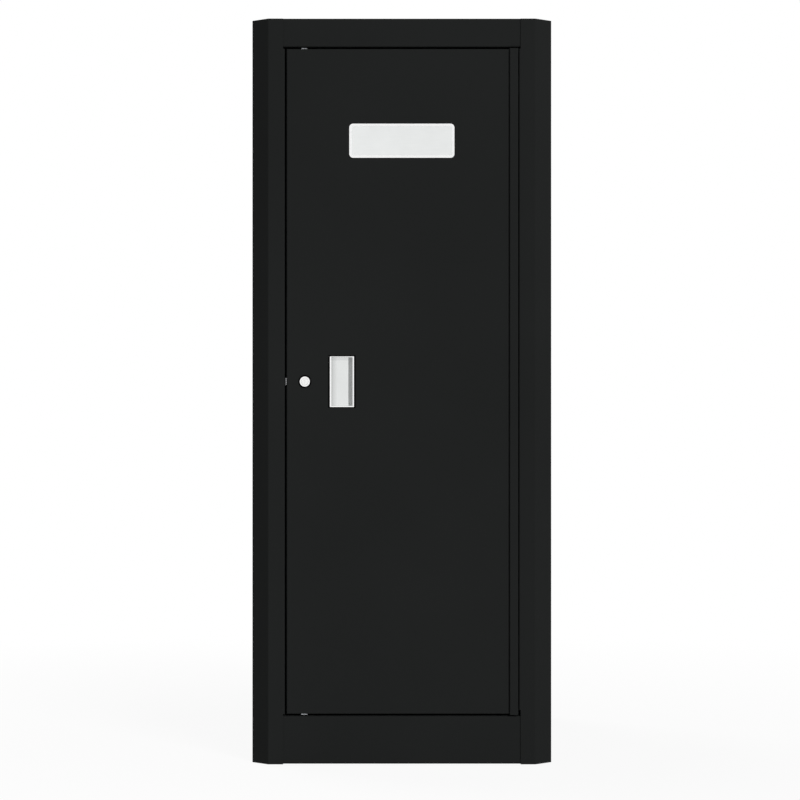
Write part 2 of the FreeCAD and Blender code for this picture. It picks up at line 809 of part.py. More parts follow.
door_screw_y = f"({front} + sizes.leaf_screw)"
door_holes = pocket(
    door_skin, "YZ", f"({door_right} - {door_wall})", door_right, (door_screw_y, first_screw, screw_hole)
)
repeat_up(door_skin, [door_holes], screw_pitch, "sizes.screw_count")

crown = "(sizes.stiffener_crown / 2)"
brim = f"({crown} + sizes.stiffener_brim)"
centre = "sizes.stiffener_centre"
brim_top = f"({skin_back} + {door_wall})"
crown_back = f"({front} + sizes.stiffener_depth)"
door_stiffener = new_body("door_stiffener")
hat = [
    (f"({centre} - {brim})", skin_back),
    (f"({centre} - {brim})", brim_top),
    (f"({centre} - {crown})", brim_top),
    (f"({centre} - {crown})", crown_back),
    (f"({centre} + {crown})", crown_back),
    (f"({centre} + {crown})", brim_top),
    (f"({centre} + {brim})", brim_top),
    (f"({centre} + {brim})", skin_back),
    (f"({centre} + {crown} - {door_wall})", skin_back),
    (f"({centre} + {crown} - {door_wall})", f"({crown_back} - {door_wall})"),
    (f"({centre} - {crown} + {door_wall})", f"({crown_back} - {door_wall})"),
    (f"({centre} - {crown} + {door_wall})", skin_back),
]
pad(
    door_stiffener,
    "XY",
    f"({door_low} + {door_wall} + sizes.fit)",
    f"({door_high} - {door_wall} - sizes.fit)",
    hat,
)
round_edges(door_stiffener, f"2 * {door_wall}", along("Z", hat[3], hat[4]))

# Recessed pull: a rim on the door face and a cup with one sloping wall
pull_cup = new_body("pull_cup")
cup_back = f"({front} + sizes.pull_depth)"
rim_front = f"({front} - sizes.pull_proud)"
rim_edges = (
    f"({pull_x} - sizes.pull_width / 2)",
    f"({pull_x} + sizes.pull_width / 2)",
    f"({lock_z} - sizes.pull_height / 2)",
    f"({lock_z} + sizes.pull_height / 2)",
)
pad(pull_cup, "XZ", rim_front, front, rectangle(*rim_edges))
round_edges(pull_cup, "sizes.crown_share * sizes.pull_proud", at_level("Y", rim_front))
pad(pull_cup, "XZ", f"({front} - sizes.pull_proud / 4)", f"({cup_back} + sizes.pull_wall)",
    rectangle(cup_left, cup_right, cup_low, cup_high))
pocket(pull_cup, "XY", pull_low, pull_high, [
    (pull_left, f"({rim_front} - sizes.pull_wall)"),
    (pull_right, f"({rim_front} - sizes.pull_wall)"),
    (pull_right, rim_front),
    (f"({pull_right} - sizes.pull_slope)", cup_back),
    (pull_left, cup_back),
])

# Bare nameplate on the door
door_badge = new_body("door_badge")
badge_front = f"({front} - sizes.badge_thickness)"
badge_edges = (
    "(-sizes.badge_width / 2)",
    "(sizes.badge_width / 2)",
    f"({door_high} - sizes.badge_drop - sizes.badge_height / 2)",
    f"({door_high} - sizes.badge_drop + sizes.badge_height / 2)",
)
badge_left, badge_right, badge_low, badge_high = badge_edges
pad(door_badge, "XZ", badge_front, front, rectangle(*badge_edges))
round_edges(door_badge, "sizes.badge_corner", along(
    "Y",
    (badge_left, badge_low),
    (badge_left, badge_high),
    (badge_right, badge_low),
    (badge_right, badge_high),
))
round_edges(door_badge, "sizes.badge_thickness / 3", at_level("Y", badge_front))


# -------------------------------------------------------------- hinge
leaf = "sizes.leaf_sheet"
strip_front = f"({front} - sizes.strip_proud)"
joggle = f"({front} + sizes.strip_seam / 2)"
door_leaf_outline = [
    (strip_left, strip_front),
    (strip_right, strip_front),
    (strip_right, f"({strip_front} + {leaf})"),
    (f"({strip_left} + {leaf})", f"({strip_front} + {leaf})"),
    (f"({strip_left} + {leaf})", joggle),
    (f"({door_right} + {leaf})", f"({joggle} + sizes.strip_seam)"),
    (f"({door_right} + {leaf})", f"({front} + sizes.leaf_reach)"),
    (door_right, f"({front} + sizes.leaf_reach)"),
    (door_right, f"({joggle} + sizes.strip_seam)"),
    (strip_left, joggle),
]
pin_hole = "(sizes.pin_radius + sizes.pin_play)"
double_pitch = f"(2 * {knuckle_pitch})"


def knuckle_ends(number):
    """Low and high ends of a knuckle, counted up from the bottom of the hinge."""
    low = f"({strip_low} + {number} * {knuckle_pitch} + sizes.knuckle_play / 2)"
    high = f"({strip_low} + ({number} + 1) * {knuckle_pitch} - sizes.knuckle_play / 2)"
    return low, high


hinge_door_leaf = new_body("hinge_door_leaf")
pad(hinge_door_leaf, "XY", strip_low, strip_high, door_leaf_outline)
round_edges(hinge_door_leaf, f"sizes.bend_share * {leaf}", along("Z", *door_leaf_outline[:2]))
door_hole = pocket(
    hinge_door_leaf, "YZ", door_right, f"({door_right} + {leaf})", (door_screw_y, first_screw, screw_hole)
)
repeat_up(hinge_door_leaf, [door_hole], screw_pitch, "sizes.screw_count")
bridge = rectangle(
    f"({pin_x} - sizes.pin_radius)",
    f"({pin_x} + sizes.pin_radius)",
    f"({strip_front} + {leaf} / 2)",
    pin_y,
)
door_barrel = pad(hinge_door_leaf, "XY", *knuckle_ends(1), (pin_x, pin_y, knuckle_radius))
door_bridge = pad(hinge_door_leaf, "XY", *knuckle_ends(1), bridge)
repeat_up(hinge_door_leaf, [door_barrel, door_bridge], double_pitch, "sizes.knuckle_pairs")
pocket(hinge_door_leaf, "XY", strip_low, strip_high, (pin_x, pin_y, pin_hole))

web_left = f"({pin_x} - {knuckle_radius})"
web_right = f"({web_left} + {leaf})"
web_start = f"({pin_y} + {knuckle_radius} + sizes.strip_seam)"
step_front = f"({pin_y} + sizes.swing_room)"
frame_leaf_end = f"({frame_back} - {t} - sizes.fit)"
hinge_frame_leaf = new_body("hinge_frame_leaf")
pad(hinge_frame_leaf, "XY", strip_low, strip_high, [
    (web_left, web_start),
    (web_right, web_start),
    (web_right, step_front),
    (post_inner, step_front),
    (post_inner, frame_leaf_end),
    (f"({post_inner} - {leaf})", frame_leaf_end),
    (f"({post_inner} - {leaf})", f"({step_front} + {leaf})"),
    (web_left, f"({step_front} + {leaf})"),
])
round_edges(hinge_frame_leaf, leaf, along("Z", (web_left, f"{step_front} + {leaf}")))
frame_hole = pocket(
    hinge_frame_leaf, "YZ", f"({post_inner} - {leaf})", post_inner, (frame_screw_y, first_screw, screw_hole)
)
repeat_up(hinge_frame_leaf, [frame_hole], screw_pitch, "sizes.screw_count")
frame_barrel = pad(hinge_frame_leaf, "XY", *knuckle_ends(0), (pin_x, pin_y, knuckle_radius))
frame_bridge = pad(hinge_frame_leaf, "XY", *knuckle_ends(0), rectangle(
    web_left, web_right, pin_y, f"({web_start} + {leaf})"
))
repeat_up(hinge_frame_leaf, [frame_barrel, frame_bridge], double_pitch, "sizes.knuckle_pairs")
pocket(hinge_frame_leaf, "XY", strip_low, strip_high, (pin_x, pin_y, pin_hole))

hinge_pin = new_body("hinge_pin")
pad(hinge_pin, "XY", strip_low, strip_high, (pin_x, pin_y, "sizes.pin_radius"))

hinge_frame_screws = new_body("hinge_frame_screws")
frame_shank = pad(
    hinge_frame_screws,
    "YZ",
    f"({post_inner} - {leaf})",
    f"({post_inner} + {t} + 2 * sizes.rivet_head)",
    (frame_screw_y, first_screw, "sizes.screw_radius"),
)
frame_head = pad(
    hinge_frame_screws,
    "YZ",
    f"({post_inner} - {leaf} - 2 * sizes.rivet_head)",
    f"({post_inner} - {leaf})",
    (frame_screw_y, first_screw, "sizes.screw_head"),
)
repeat_up(hinge_frame_screws, [frame_shank, frame_head], screw_pitch, "sizes.screw_count")
round_edges(
    hinge_frame_screws, "sizes.rivet_head", at_level("X", f"{post_inner} - {leaf} - 2 * sizes.rivet_head")
)

hinge_door_rivets = new_body("hinge_door_rivets")
door_shank = pad(
    hinge_door_rivets,
    "YZ",
    f"({door_right} - {door_wall} - sizes.rivet_head)",
    f"({door_right} + {leaf})",
    (door_screw_y, first_screw, "sizes.screw_radius"),
)
door_head = pad(
    hinge_door_rivets,
    "YZ",
    f"({door_right} + {leaf})",
    f"({door_right} + {leaf} + sizes.rivet_head)",
    (door_screw_y, first_screw, "sizes.screw_head"),
)
repeat_up(hinge_door_rivets, [door_shank, door_head], screw_pitch, "sizes.screw_count")
round_edges(
    hinge_door_rivets,
    "sizes.crown_share * sizes.rivet_head",
    at_level("X", f"{door_right} + {leaf} + sizes.rivet_head"),
)


# --------------------------------------------------------------- lock
head_front = f"({front} - sizes.lock_head_proud)"
body_end = f"({front} + sizes.lock_body_length)"
lock_spot = (lock_x, lock_z)
lock_housing = new_body("lock_housing")
pad(lock_housing, "XZ", front, body_end, (*lock_spot, "sizes.lock_body"))
pad(lock_housing, "XZ", head_front, front, (*lock_spot, "sizes.lock_head"))
round_edges(lock_housing, "sizes.lock_head_proud / 2", at_level("Y", head_front))
pocket(lock_housing, "XZ", head_front, body_end, (*lock_spot, "sizes.plug_radius"))

nut_side = "(sizes.nut_across / 2)"
nut_corner = f"({nut_side} * 2 / sqrt(3))"
lock_nut = new_body("lock_nut")
nut_outline = [
    (f"({lock_x} + {nut_corner})", lock_z),
    (f"({lock_x} + {nut_corner} / 2)", f"({lock_z} + {nut_side})"),
    (f"({lock_x} - {nut_corner} / 2)", f"({lock_z} + {nut_side})"),
    (f"({lock_x} - {nut_corner})", lock_z),
    (f"({lock_x} - {nut_corner} / 2)", f"({lock_z} - {nut_side})"),
    (f"({lock_x} + {nut_corner} / 2)", f"({lock_z} - {nut_side})"),
]
nut_back = f"({skin_back} + sizes.nut_height)"
pad(lock_nut, "XZ", skin_back, nut_back, nut_outline)
pocket(lock_nut, "XZ", skin_back, nut_back, (*lock_spot, "(sizes.lock_body + sizes.lock_play)"))

plug_front = f"({head_front} + sizes.plug_face_set)"
lock_plug = new_body("lock_plug")
pad(lock_plug, "XZ", plug_front, body_end, (*lock_spot, "(sizes.plug_radius - sizes.plug_play)"))
tail = "(sizes.tail_width / 2)"
pad(lock_plug, "XZ", body_end, cam_back, rectangle(
    f"({lock_x} - {tail})", f"({lock_x} + {tail})", f"({lock_z} - {tail})", f"({lock_z} + {tail})"
))
pocket(lock_plug, "XZ", plug_front, f"({plug_front} + sizes.keyway_depth)", rectangle(
    f"({lock_x} - sizes.keyway_width / 2)",
    f"({lock_x} + sizes.keyway_width / 2)",
    f"({lock_z} - sizes.keyway_length / 2)",
    f"({lock_z} + sizes.keyway_length / 2)",
))
cam_screw_radius = f"({tail} / 2)"
cam_screw_depth = f"({cam_back} - 2 * sizes.cam_sheet)"
pocket(lock_plug, "XZ", cam_screw_depth, cam_back, (
    *lock_spot, f"({cam_screw_radius} + sizes.plug_play)"
))

# Cam plate: two pins forward for the rods, one pin back for the bolt
lock_cam = new_body("lock_cam")
cam_radius = "(sizes.crank + sizes.crank_pin + sizes.cam_margin)"
pad(lock_cam, "XZ", cam_front, cam_back, (*lock_spot, cam_radius))
crank_left = f"({lock_x} - {crank_reach})"
crank_right = f"({lock_x} + {crank_reach})"
crank_low = f"({lock_z} - {crank_reach})"
crank_high = f"({lock_z} + {crank_reach})"
rod_pins_front = f"({rod_front} - sizes.layer_gap)"
bolt_pin_back = f"({bolt_back} + sizes.layer_gap)"
pad(lock_cam, "XZ", rod_pins_front, cam_front, (crank_right, crank_low, "sizes.crank_pin"))
pad(lock_cam, "XZ", rod_pins_front, cam_front, (crank_left, crank_high, "sizes.crank_pin"))
pad(lock_cam, "XZ", cam_back, bolt_pin_back, (crank_right, crank_high, "sizes.crank_pin"))
tail_hole = f"({tail} + sizes.plug_play)"
pocket(lock_cam, "XZ", cam_front, cam_back, rectangle(
    f"({lock_x} - {tail_hole})",
    f"({lock_x} + {tail_hole})",
    f"({lock_z} - {tail_hole})",
    f"({lock_z} + {tail_hole})",
))

cam_screw_head = f"({tail} + sizes.crank_pin / 2)"
cam_screw = new_body("cam_screw")
pad(cam_screw, "XZ", cam_screw_depth, cam_back, (*lock_spot, cam_screw_radius))
pad(cam_screw, "XZ", cam_back, bolt_back, (*lock_spot, cam_screw_head))


# --------------------------------------------------- lock rods and bolt
yoke_slot = "(sizes.crank_pin + sizes.yoke_play)"
yoke_near = f"({tail} * sqrt(2) + sizes.yoke_play * 2)"
yoke_far = f"(sizes.crank + {yoke_slot})"
yoke_outer = f"({yoke_far} + sizes.yoke_wall)"
shoulder = f"({crank_reach} + {yoke_slot} + 2 * sizes.yoke_wall)"
bar_half = "(sizes.rod_width / 2)"


def rod_outline(sign, tip):
    """Rod with its open yoke: up and right (1) or down and left (-1)."""
    side_x = [f"({lock_x} + {sign} * {reach})" for reach in (yoke_near, yoke_far, yoke_outer)]
    near, far, outer = side_x
    inner_jaw = f"({lock_z} - {sign} * ({crank_reach} - {yoke_slot}))"
    outer_jaw = f"({lock_z} - {sign} * ({crank_reach} + {yoke_slot}))"
    jaw_end = f"({lock_z} - {sign} * ({crank_reach} + {yoke_slot} + sizes.yoke_wall))"
    shoulder_z = f"({lock_z} + {sign} * {shoulder})"
    bar_z = f"({lock_z} + {sign} * ({shoulder} + 2 * sizes.yoke_wall))"
    bar_near = f"({rod_x} + {sign} * {bar_half})"
    bar_far = f"({rod_x} - {sign} * {bar_half})"
    return [
        (near, shoulder_z),
        (near, inner_jaw),
        (far, inner_jaw),
        (far, outer_jaw),
        (near, outer_jaw),
        (near, jaw_end),
        (outer, jaw_end),
        (outer, shoulder_z),
        (bar_near, bar_z),
        (bar_near, tip),
        (bar_far, tip),
        (bar_far, shoulder_z),
    ]


top_tip = f"({door_high} + sizes.tip_show)"
bottom_tip = f"({door_low} - sizes.tip_show)"
top_rod = new_body("top_rod")
pad(top_rod, "XZ", rod_front, rod_back, rod_outline(1, top_tip))
round_edges(top_rod, "sizes.rod_corner_share * sizes.rod_width", along(
    "Y", (f"{rod_x} - {bar_half}", top_tip), (f"{rod_x} + {bar_half}", top_tip)
))
bottom_rod = new_body("bottom_rod")
pad(bottom_rod, "XZ", rod_front, rod_back, rod_outline(-1, bottom_tip))
round_edges(bottom_rod, "sizes.rod_corner_share * sizes.rod_width", along(
    "Y", (f"{rod_x} - {bar_half}", bottom_tip), (f"{rod_x} + {bar_half}", bottom_tip)
))

bolt_tip = f"({door_left} - sizes.bolt_show)"
bolt_low = f"({lock_z} - sizes.bolt_width / 2)"
bolt_high = f"({lock_z} + sizes.bolt_width / 2)"
notch_left = f"({crank_right} - {yoke_slot})"
notch_right = f"({crank_right} + {yoke_slot})"
bolt_throw = "(sizes.crank * sqrt(2))"
bolt_shoulder = f"({door_left} + {door_wall} + {bolt_throw} + sizes.yoke_play)"
bolt_heel = f"({lock_x} - {cam_screw_head} - 2 * sizes.yoke_play)"
side_bolt = new_body("side_bolt")
pad(side_bolt, "XZ", bolt_front, bolt_back, [
    (bolt_tip, bolt_low),
    (bolt_heel, bolt_low),
    (bolt_heel, f"({lock_z} + {yoke_near})"),
    (notch_left, f"({lock_z} + {yoke_near})"),
    (notch_left, f"({lock_z} + {yoke_far})"),
    (notch_right, f"({lock_z} + {yoke_far})"),
    (notch_right, f"({lock_z} + {yoke_near})"),
    (f"({notch_right} + sizes.yoke_wall)", f"({lock_z} + {yoke_near})"),
    (f"({notch_right} + sizes.yoke_wall)", f"({lock_z} + {yoke_outer})"),
    (bolt_shoulder, f"({lock_z} + {yoke_outer})"),
    (bolt_shoulder, bolt_high),
    (bolt_tip, bolt_high),
])

guide_heights = {
    "top_upper": f"({door_high} - sizes.guide_end)",
    "top_lower": f"({lock_z} + sizes.guide_near)",
    "bottom_upper": f"({lock_z} - sizes.guide_near)",
    "bottom_lower": f"({door_low} + sizes.guide_end)",
}
guide_left = f"({rod_x} - {bar_half} - sizes.guide_wall)"
guide_right = f"({rod_x} + {bar_half} + sizes.guide_wall)"
guide_crown = f"({rod_back} + sizes.guide_back)"
for name, height in guide_heights.items():
    guide = new_body(f"rod_guide_{name}")
    low = f"({height} - sizes.guide_length / 2)"
    high = f"({height} + sizes.guide_length / 2)"
    pad(guide, "XY", low, high, rectangle(guide_left, guide_right, skin_back, guide_crown))
    round_edges(guide, "sizes.crown_share * sizes.guide_back", along(
        "Z", (guide_left, guide_crown), (guide_right, guide_crown)
    ))
    pocket(guide, "XY", low, high, rod_slot)

bolt_guide = new_body("bolt_guide")
bolt_guide_left = f"({door_left} + {door_wall} + sizes.guide_back)"
bolt_guide_right = f"({lock_x} - {yoke_outer} - sizes.yoke_play)"
bolt_crown = f"({lock_z} + {yoke_outer})"
pad(bolt_guide, "YZ", bolt_guide_left, bolt_guide_right, rectangle(
    skin_back,
    f"({door_back} - {door_wall} - sizes.bumper_gap)",
    f"({bolt_low} - sizes.guide_wall / 2)",
    f"({bolt_crown} + sizes.guide_wall / 2)",
))
pocket(bolt_guide, "YZ", bolt_guide_left, bolt_guide_right, rectangle(
    f"({bolt_front} - sizes.rod_play)",
    f"({bolt_back} + sizes.rod_play)",
    keeper_low,
    f"({bolt_crown} + sizes.rod_play)",
))

# ------------------------------------------------------ test and write
doc.recompute()
for item in doc.Objects:
    if "Invalid" in item.State or "Error" in item.State:
        raise RuntimeError(f"{item.Label} failed: {item.State}")

bodies = [item for item in doc.Objects if item.TypeId == "PartDesign::Body"]
for body in bodies:
    if body.Shape.isNull() or not body.Shape.isValid():
        raise RuntimeError(f"{body.Label} has no valid shape")

os.makedirs("parts", exist_ok=True)
for body in bodies:
    body.Shape.exportStep(f"parts/{body.Label}.step")
    box = body.Shape.BoundBox
    print(f"{body.Label}: {len(body.Shape.Solids)} solids, {body.Shape.Volume / 1000:.1f} cm3, "
          f"x {box.XMin:.2f} to {box.XMax:.2f}, y {box.YMin:.2f} to {box.YMax:.2f}, "
          f"z {box.ZMin:.2f} to {box.ZMax:.2f}")
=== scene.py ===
import bmesh
import bpy
import json
import math
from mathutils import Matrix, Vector


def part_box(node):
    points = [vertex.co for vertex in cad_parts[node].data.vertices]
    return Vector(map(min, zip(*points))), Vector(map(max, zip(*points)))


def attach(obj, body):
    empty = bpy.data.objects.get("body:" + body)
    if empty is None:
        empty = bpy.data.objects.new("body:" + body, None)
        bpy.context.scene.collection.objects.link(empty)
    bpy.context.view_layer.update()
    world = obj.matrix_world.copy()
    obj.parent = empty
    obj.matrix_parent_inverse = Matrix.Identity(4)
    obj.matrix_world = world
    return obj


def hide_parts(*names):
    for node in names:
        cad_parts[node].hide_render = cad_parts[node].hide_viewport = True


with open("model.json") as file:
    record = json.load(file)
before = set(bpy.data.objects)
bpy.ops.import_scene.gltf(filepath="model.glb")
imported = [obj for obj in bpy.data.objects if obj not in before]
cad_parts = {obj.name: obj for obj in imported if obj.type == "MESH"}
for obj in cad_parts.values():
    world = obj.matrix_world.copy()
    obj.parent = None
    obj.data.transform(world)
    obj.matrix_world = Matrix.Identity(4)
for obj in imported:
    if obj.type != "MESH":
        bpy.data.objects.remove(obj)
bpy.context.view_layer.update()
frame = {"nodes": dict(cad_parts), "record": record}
nodes = frame["nodes"]
mm = 0.001
print("locker frame loaded:", len(nodes), "nodes")


class Wire:
    # a socket that shader maths can be written with
    def __init__(self, finish, socket):
        self.finish = finish
        self.socket = socket

    def also(self, name):
        # another output of the same node
        return Wire(self.finish, self.socket.node.outputs[name])

    def maths(self, operation, first, second):
        return self.finish.node("ShaderNodeMath", {"operation": operation}, {0: first, 1: second})

    def __add__(self, other):
        return self.maths("ADD", self, other)

    def __radd__(self, other):
        return self.maths("ADD", other, self)

    def __mul__(self, other):
        return self.maths("MULTIPLY", self, other)

    def __rmul__(self, other):
        return self.maths("MULTIPLY", other, self)


class Finish:
    # one finish as a node tree, in a material of its own or in the tree it is given
    def __init__(self, name, tree=None):
        if tree is None:
            self.material = bpy.data.materials.new(name)
            self.material.use_nodes = True
            tree = self.material.node_tree
        self.tree = tree
        self.tree.nodes.clear()

    def node(self, kind, settings, sockets, out=0):
        made = self.tree.nodes.new(kind)
        for name, setting in settings.items():
            setattr(made, name, setting)
        for name, given in sockets.items():
            if isinstance(given, Wire):
                self.tree.links.new(given.socket, made.inputs[name])
            else:
                made.inputs[name].default_value = given
        return Wire(self, made.outputs[out]) if len(made.outputs) else None

    def place(self, centre=(0, 0, 0), stretch=(1, 1, 1)):
        # where a point is on the piece, from a centre, and stretched along an axis
        shift = [-c * s for c, s in zip(centre, stretch)]
        raw = self.node("ShaderNodeTexCoord", {}, {}, "Object")
        return self.node("ShaderNodeMapping", {}, {"Vector": raw, "Location": shift, "Scale": stretch})

    def noise(self, place, scale, detail=2.0, roughness=0.5):
        sockets = {"Vector": place, "Scale": scale, "Detail": detail, "Roughness": roughness}
        return self.node("ShaderNodeTexNoise", {}, sockets, "Fac")

    def between(self, wire, fromLow, fromHigh, low=0.0, high=1.0):
        sockets = {"Value": wire, "From Min": fromLow, "From Max": fromHigh, "To Min": low, "To Max": high}
        return self.node("ShaderNodeMapRange", {"clamp": True}, sockets)

    def mixed(self, amount, first, second):
        # colours go in at sockets 6 and 7, and their mix comes out at 2
        first, second = ((*c, 1) if isinstance(c, tuple) else c for c in (first, second))
        return self.node("ShaderNodeMix", {"data_type": "RGBA"}, {0: amount, 6: first, 7: second}, 2)

    def bump(self, height, depth, over=None):
        sockets = {"Height": height, "Distance": depth}
        if over is not None:
            sockets["Normal"] = over
        return self.node("ShaderNodeBump", {}, sockets)

    def shaded(self, sockets):
        surface = self.node("ShaderNodeBsdfPrincipled", {}, sockets)
        self.node("ShaderNodeOutputMaterial", {}, {"Surface": surface})
        return self.material


def shades(colour, share):
    # a darker and a lighter shade of one colour
    return tuple(c * (1 - share) for c in colour), tuple(min(1, c * (1 + share)) for c in colour)


def blended(first, second, share):
    # two patterns in one, with the first one's share
    return first * share + second * (1 - share)


coatLook = {
    "colour": (0.0150, 0.0159, 0.0157), "shade": 0.05, "gloss": 0.010, "roughest": 0.56, "smoothest": 0.44,
    "cloudScale": 3.1, "cloudShare": 0.7, "cloudRange": (0.38, 0.62),
    "peelScale": 420.0, "peelShare": 0.5, "peelRange": (0.35, 0.65), "peelDepth": 0.035 * mm,
    "grainScale": 1600.0, "grainDepth": 0.008 * mm,
}


def makePowderCoat(name, look):
    # sprayed and baked paint: soft clouds of shade, orange peel and a fine grain
    finish = Finish(name)
    place = finish.place()
    cloud = finish.noise(place, look["cloudScale"], detail=3.0)
    peel = finish.noise(place, look["peelScale"], detail=1.0, roughness=0.4)
    grain = finish.noise(place, look["grainScale"], roughness=0.6)
    dark, pale = shades(look["colour"], look["shade"])
    speck = finish.between(blended(cloud, grain, look["cloudShare"]), *look["cloudRange"])
    wear = blended(peel, grain, look["peelShare"])
    rough = finish.between(wear, *look["peelRange"], look["smoothest"], look["roughest"])
    normal = finish.bump(grain, look["grainDepth"], finish.bump(peel, look["peelDepth"]))
    return finish.shaded({
        "Base Color": finish.mixed(speck, dark, pale), "Roughness": rough, "Normal": normal,
        "Specular IOR Level": look["gloss"],
    })


zincLook = {
    "colour": (0.60, 0.62, 0.65), "shade": 0.09, "roughest": 0.46, "smoothest": 0.28,
    "spangleScale": 130.0, "spangleShare": 0.55,
    "streakScale": 1100.0, "streakStretch": (1, 1, 0.02), "streakShare": 0.6, "streakRange": (0.25, 0.75),
    "streakDepth": 0.012 * mm,
    "stain": (0.66, 0.64, 0.58), "stainScale": 22.0, "stainRange": (0.52, 0.75), "stainStrength": 0.5,
}


def makeZincPlate(name, look):
    # bright zinc: faint spangles, drawing streaks up the strip and a warm tint in places
    finish = Finish(name)
    place = finish.place()
    cells = {"Vector": place, "Scale": look["spangleScale"]}
    spangle = finish.node("ShaderNodeTexVoronoi", {}, cells, "Color")
    flake = finish.node("ShaderNodeSeparateColor", {}, {"Color": spangle})
    along = finish.place(stretch=look["streakStretch"])
    streak = finish.noise(along, look["streakScale"], roughness=0.6)
    stain = finish.between(finish.noise(place, look["stainScale"], detail=3.0), *look["stainRange"])
    dark, pale = shades(look["colour"], look["shade"])
    plain = finish.mixed(blended(flake, streak, look["spangleShare"]), dark, pale)
    wear = blended(streak, flake, look["streakShare"])
    rough = finish.between(wear, *look["streakRange"], look["smoothest"], look["roughest"])
    return finish.shaded({
        "Base Color": finish.mixed(stain * look["stainStrength"], plain, look["stain"]),
        "Roughness": rough, "Metallic": 1.0, "Normal": finish.bump(streak, look["streakDepth"]),
    })


mouldedLook = {
    "shade": 0.16, "grainScale": 1900.0, "roughRange": (0.3, 0.7), "roughSpread": 0.07,
    "bloomScale": 60.0, "bloomShare": 0.6, "bloomRange": (0.4, 0.7),
}
nylonLook = {"colour": (0.03, 0.03, 0.031), "roughness": 0.5, "grainDepth": 0.006 * mm, "gloss": 0.3}
rubberLook = {"colour": (0.02, 0.02, 0.02), "roughness": 0.78, "grainDepth": 0.012 * mm, "gloss": 0.15}
# near-black foam: a real seal, and also a painted shadow line round the pull and the lock
foamShadowLineLook = {"colour": (0.002, 0.002, 0.002), "roughness": 0.9, "grainDepth": 0.02 * mm, "gloss": 0.0}


def makeMoulded(name, own):
    # nylon, rubber or foam: a fine grain from the mould with slightly paler worn patches
    look = {**mouldedLook, **own}
    finish = Finish(name)
    place = finish.place()
    grain = finish.noise(place, look["grainScale"], roughness=0.6)
    bloom = finish.between(finish.noise(place, look["bloomScale"], detail=3.0), *look["bloomRange"])
    dark, pale = shades(look["colour"], look["shade"])
    smooth, rough = look["roughness"] - look["roughSpread"], look["roughness"] + look["roughSpread"]
    return finish.shaded({
        "Base Color": finish.mixed(blended(bloom, grain, look["bloomShare"]), dark, pale),
        "Roughness": finish.between(grain, *look["roughRange"], smooth, rough),
        "Specular IOR Level": look["gloss"], "Normal": finish.bump(grain, look["grainDepth"]),
    })


satinLook = {
    "shade": 0.035, "metal": 1.0, "brushing": (1, 1, 1),
    "grainScale": 1500.0, "grainShare": 0.6, "grainRange": (0.35, 0.65), "grainDepth": 0.006 * mm,
    "cloudScale": 30.0, "roughRange": (0.3, 0.7), "roughSpread": 0.05,
}


def makeSatin(name, own, paintedShades=()):
    # satin silver: a blasted or brushed grain; each painted shade darkens the metal along an axis, where a
    # wall would shade it
    look = {**satinLook, **own}
    finish = Finish(name)
    brushed = finish.place(stretch=look["brushing"])
    grain = finish.noise(brushed, look["grainScale"], detail=3.0, roughness=0.65)
    cloud = finish.noise(finish.place(), look["cloudScale"])
    dark, pale = shades(look["colour"], look["shade"])
    patches = finish.between(blended(grain, cloud, look["grainShare"]), *look["grainRange"])
    shade = finish.mixed(patches, dark, pale)
    # painted shade: darkens the base colour towards a wall, standing in for the shade and shadow there
    for axis, start, end, dimmest in paintedShades:
        along = finish.node("ShaderNodeSeparateXYZ", {}, {"Vector": finish.place()}, axis)
        shade = finish.mixed(finish.between(along, start, end, 1 - dimmest, 0.0), shade, (0.0, 0.0, 0.0))
    smooth, rough = look["roughness"] - look["roughSpread"], look["roughness"] + look["roughSpread"]
    return finish.shaded({
        "Base Color": shade, "Metallic": look["metal"],
        "Roughness": finish.between(grain, *look["roughRange"], smooth, rough),
        "Normal": finish.bump(grain, look["grainDepth"]),
    })


nickelLook = {
    "shade": 0.03, "ringScale": 6000.0, "ringShare": 0.7, "ringDepth": 0.004 * mm,
    "smearScale": 240.0, "smearRange": (0.35, 0.65), "smoother": 0.04, "rougher": 0.06,
}


def makeNickel(name, own, centre):
    # bright nickel with the fine rings that turning leaves about its centre
    look = {**nickelLook, **own}
    finish = Finish(name)
    place = finish.place(centre, (1, 0, 1))  # without its depth, so the rings run round the lock
    radius = finish.node("ShaderNodeVectorMath", {"operation": "LENGTH"}, {0: place}, "Value")
    across = {"W": radius, "Scale": look["ringScale"]}
    rings = finish.node("ShaderNodeTexNoise", {"noise_dimensions": "1D"}, across, "Fac")
    smear = finish.noise(finish.place(), look["smearScale"], detail=3.0)
    dark, pale = shades(look["colour"], look["shade"])
    smooth, rough = look["roughness"] - look["smoother"], look["roughness"] + look["rougher"]
    return finish.shaded({
        "Base Color": finish.mixed(blended(rings, smear, look["ringShare"]), dark, pale), "Metallic": 1.0,
        "Roughness": finish.between(smear, *look["smearRange"], smooth, rough),
        "Normal": finish.bump(rings, look["ringDepth"]),
    })


blackCoat = makePowderCoat("blackPowderCoat", coatLook)
zincPlate = makeZincPlate("zincPlate", zincLook)
blackNylon = makeMoulded("blackNylon", nylonLook)
blackRubber = makeMoulded("blackRubber", rubberLook)
foamSealShadowLine = makeMoulded("foamSealShadowLine", foamShadowLineLook)
print("finishes mixed")

# every node starts with the finish of its slot; the bright ones give way to detailed pieces below
finishOfSlot = {
    "powder_coat": blackCoat, "zinc_steel": zincPlate, "nylon": blackNylon, "rubber": blackRubber,
    "satin_silver": zincPlate, "bright_chrome": zincPlate,
}
for row in frame["record"]["subparts"]:
    node = nodes[row["node"]]
    node.data.materials.clear()
    node.data.materials.append(finishOfSlot[row["material_slot"]])
print("finishes on the frame's own pieces")

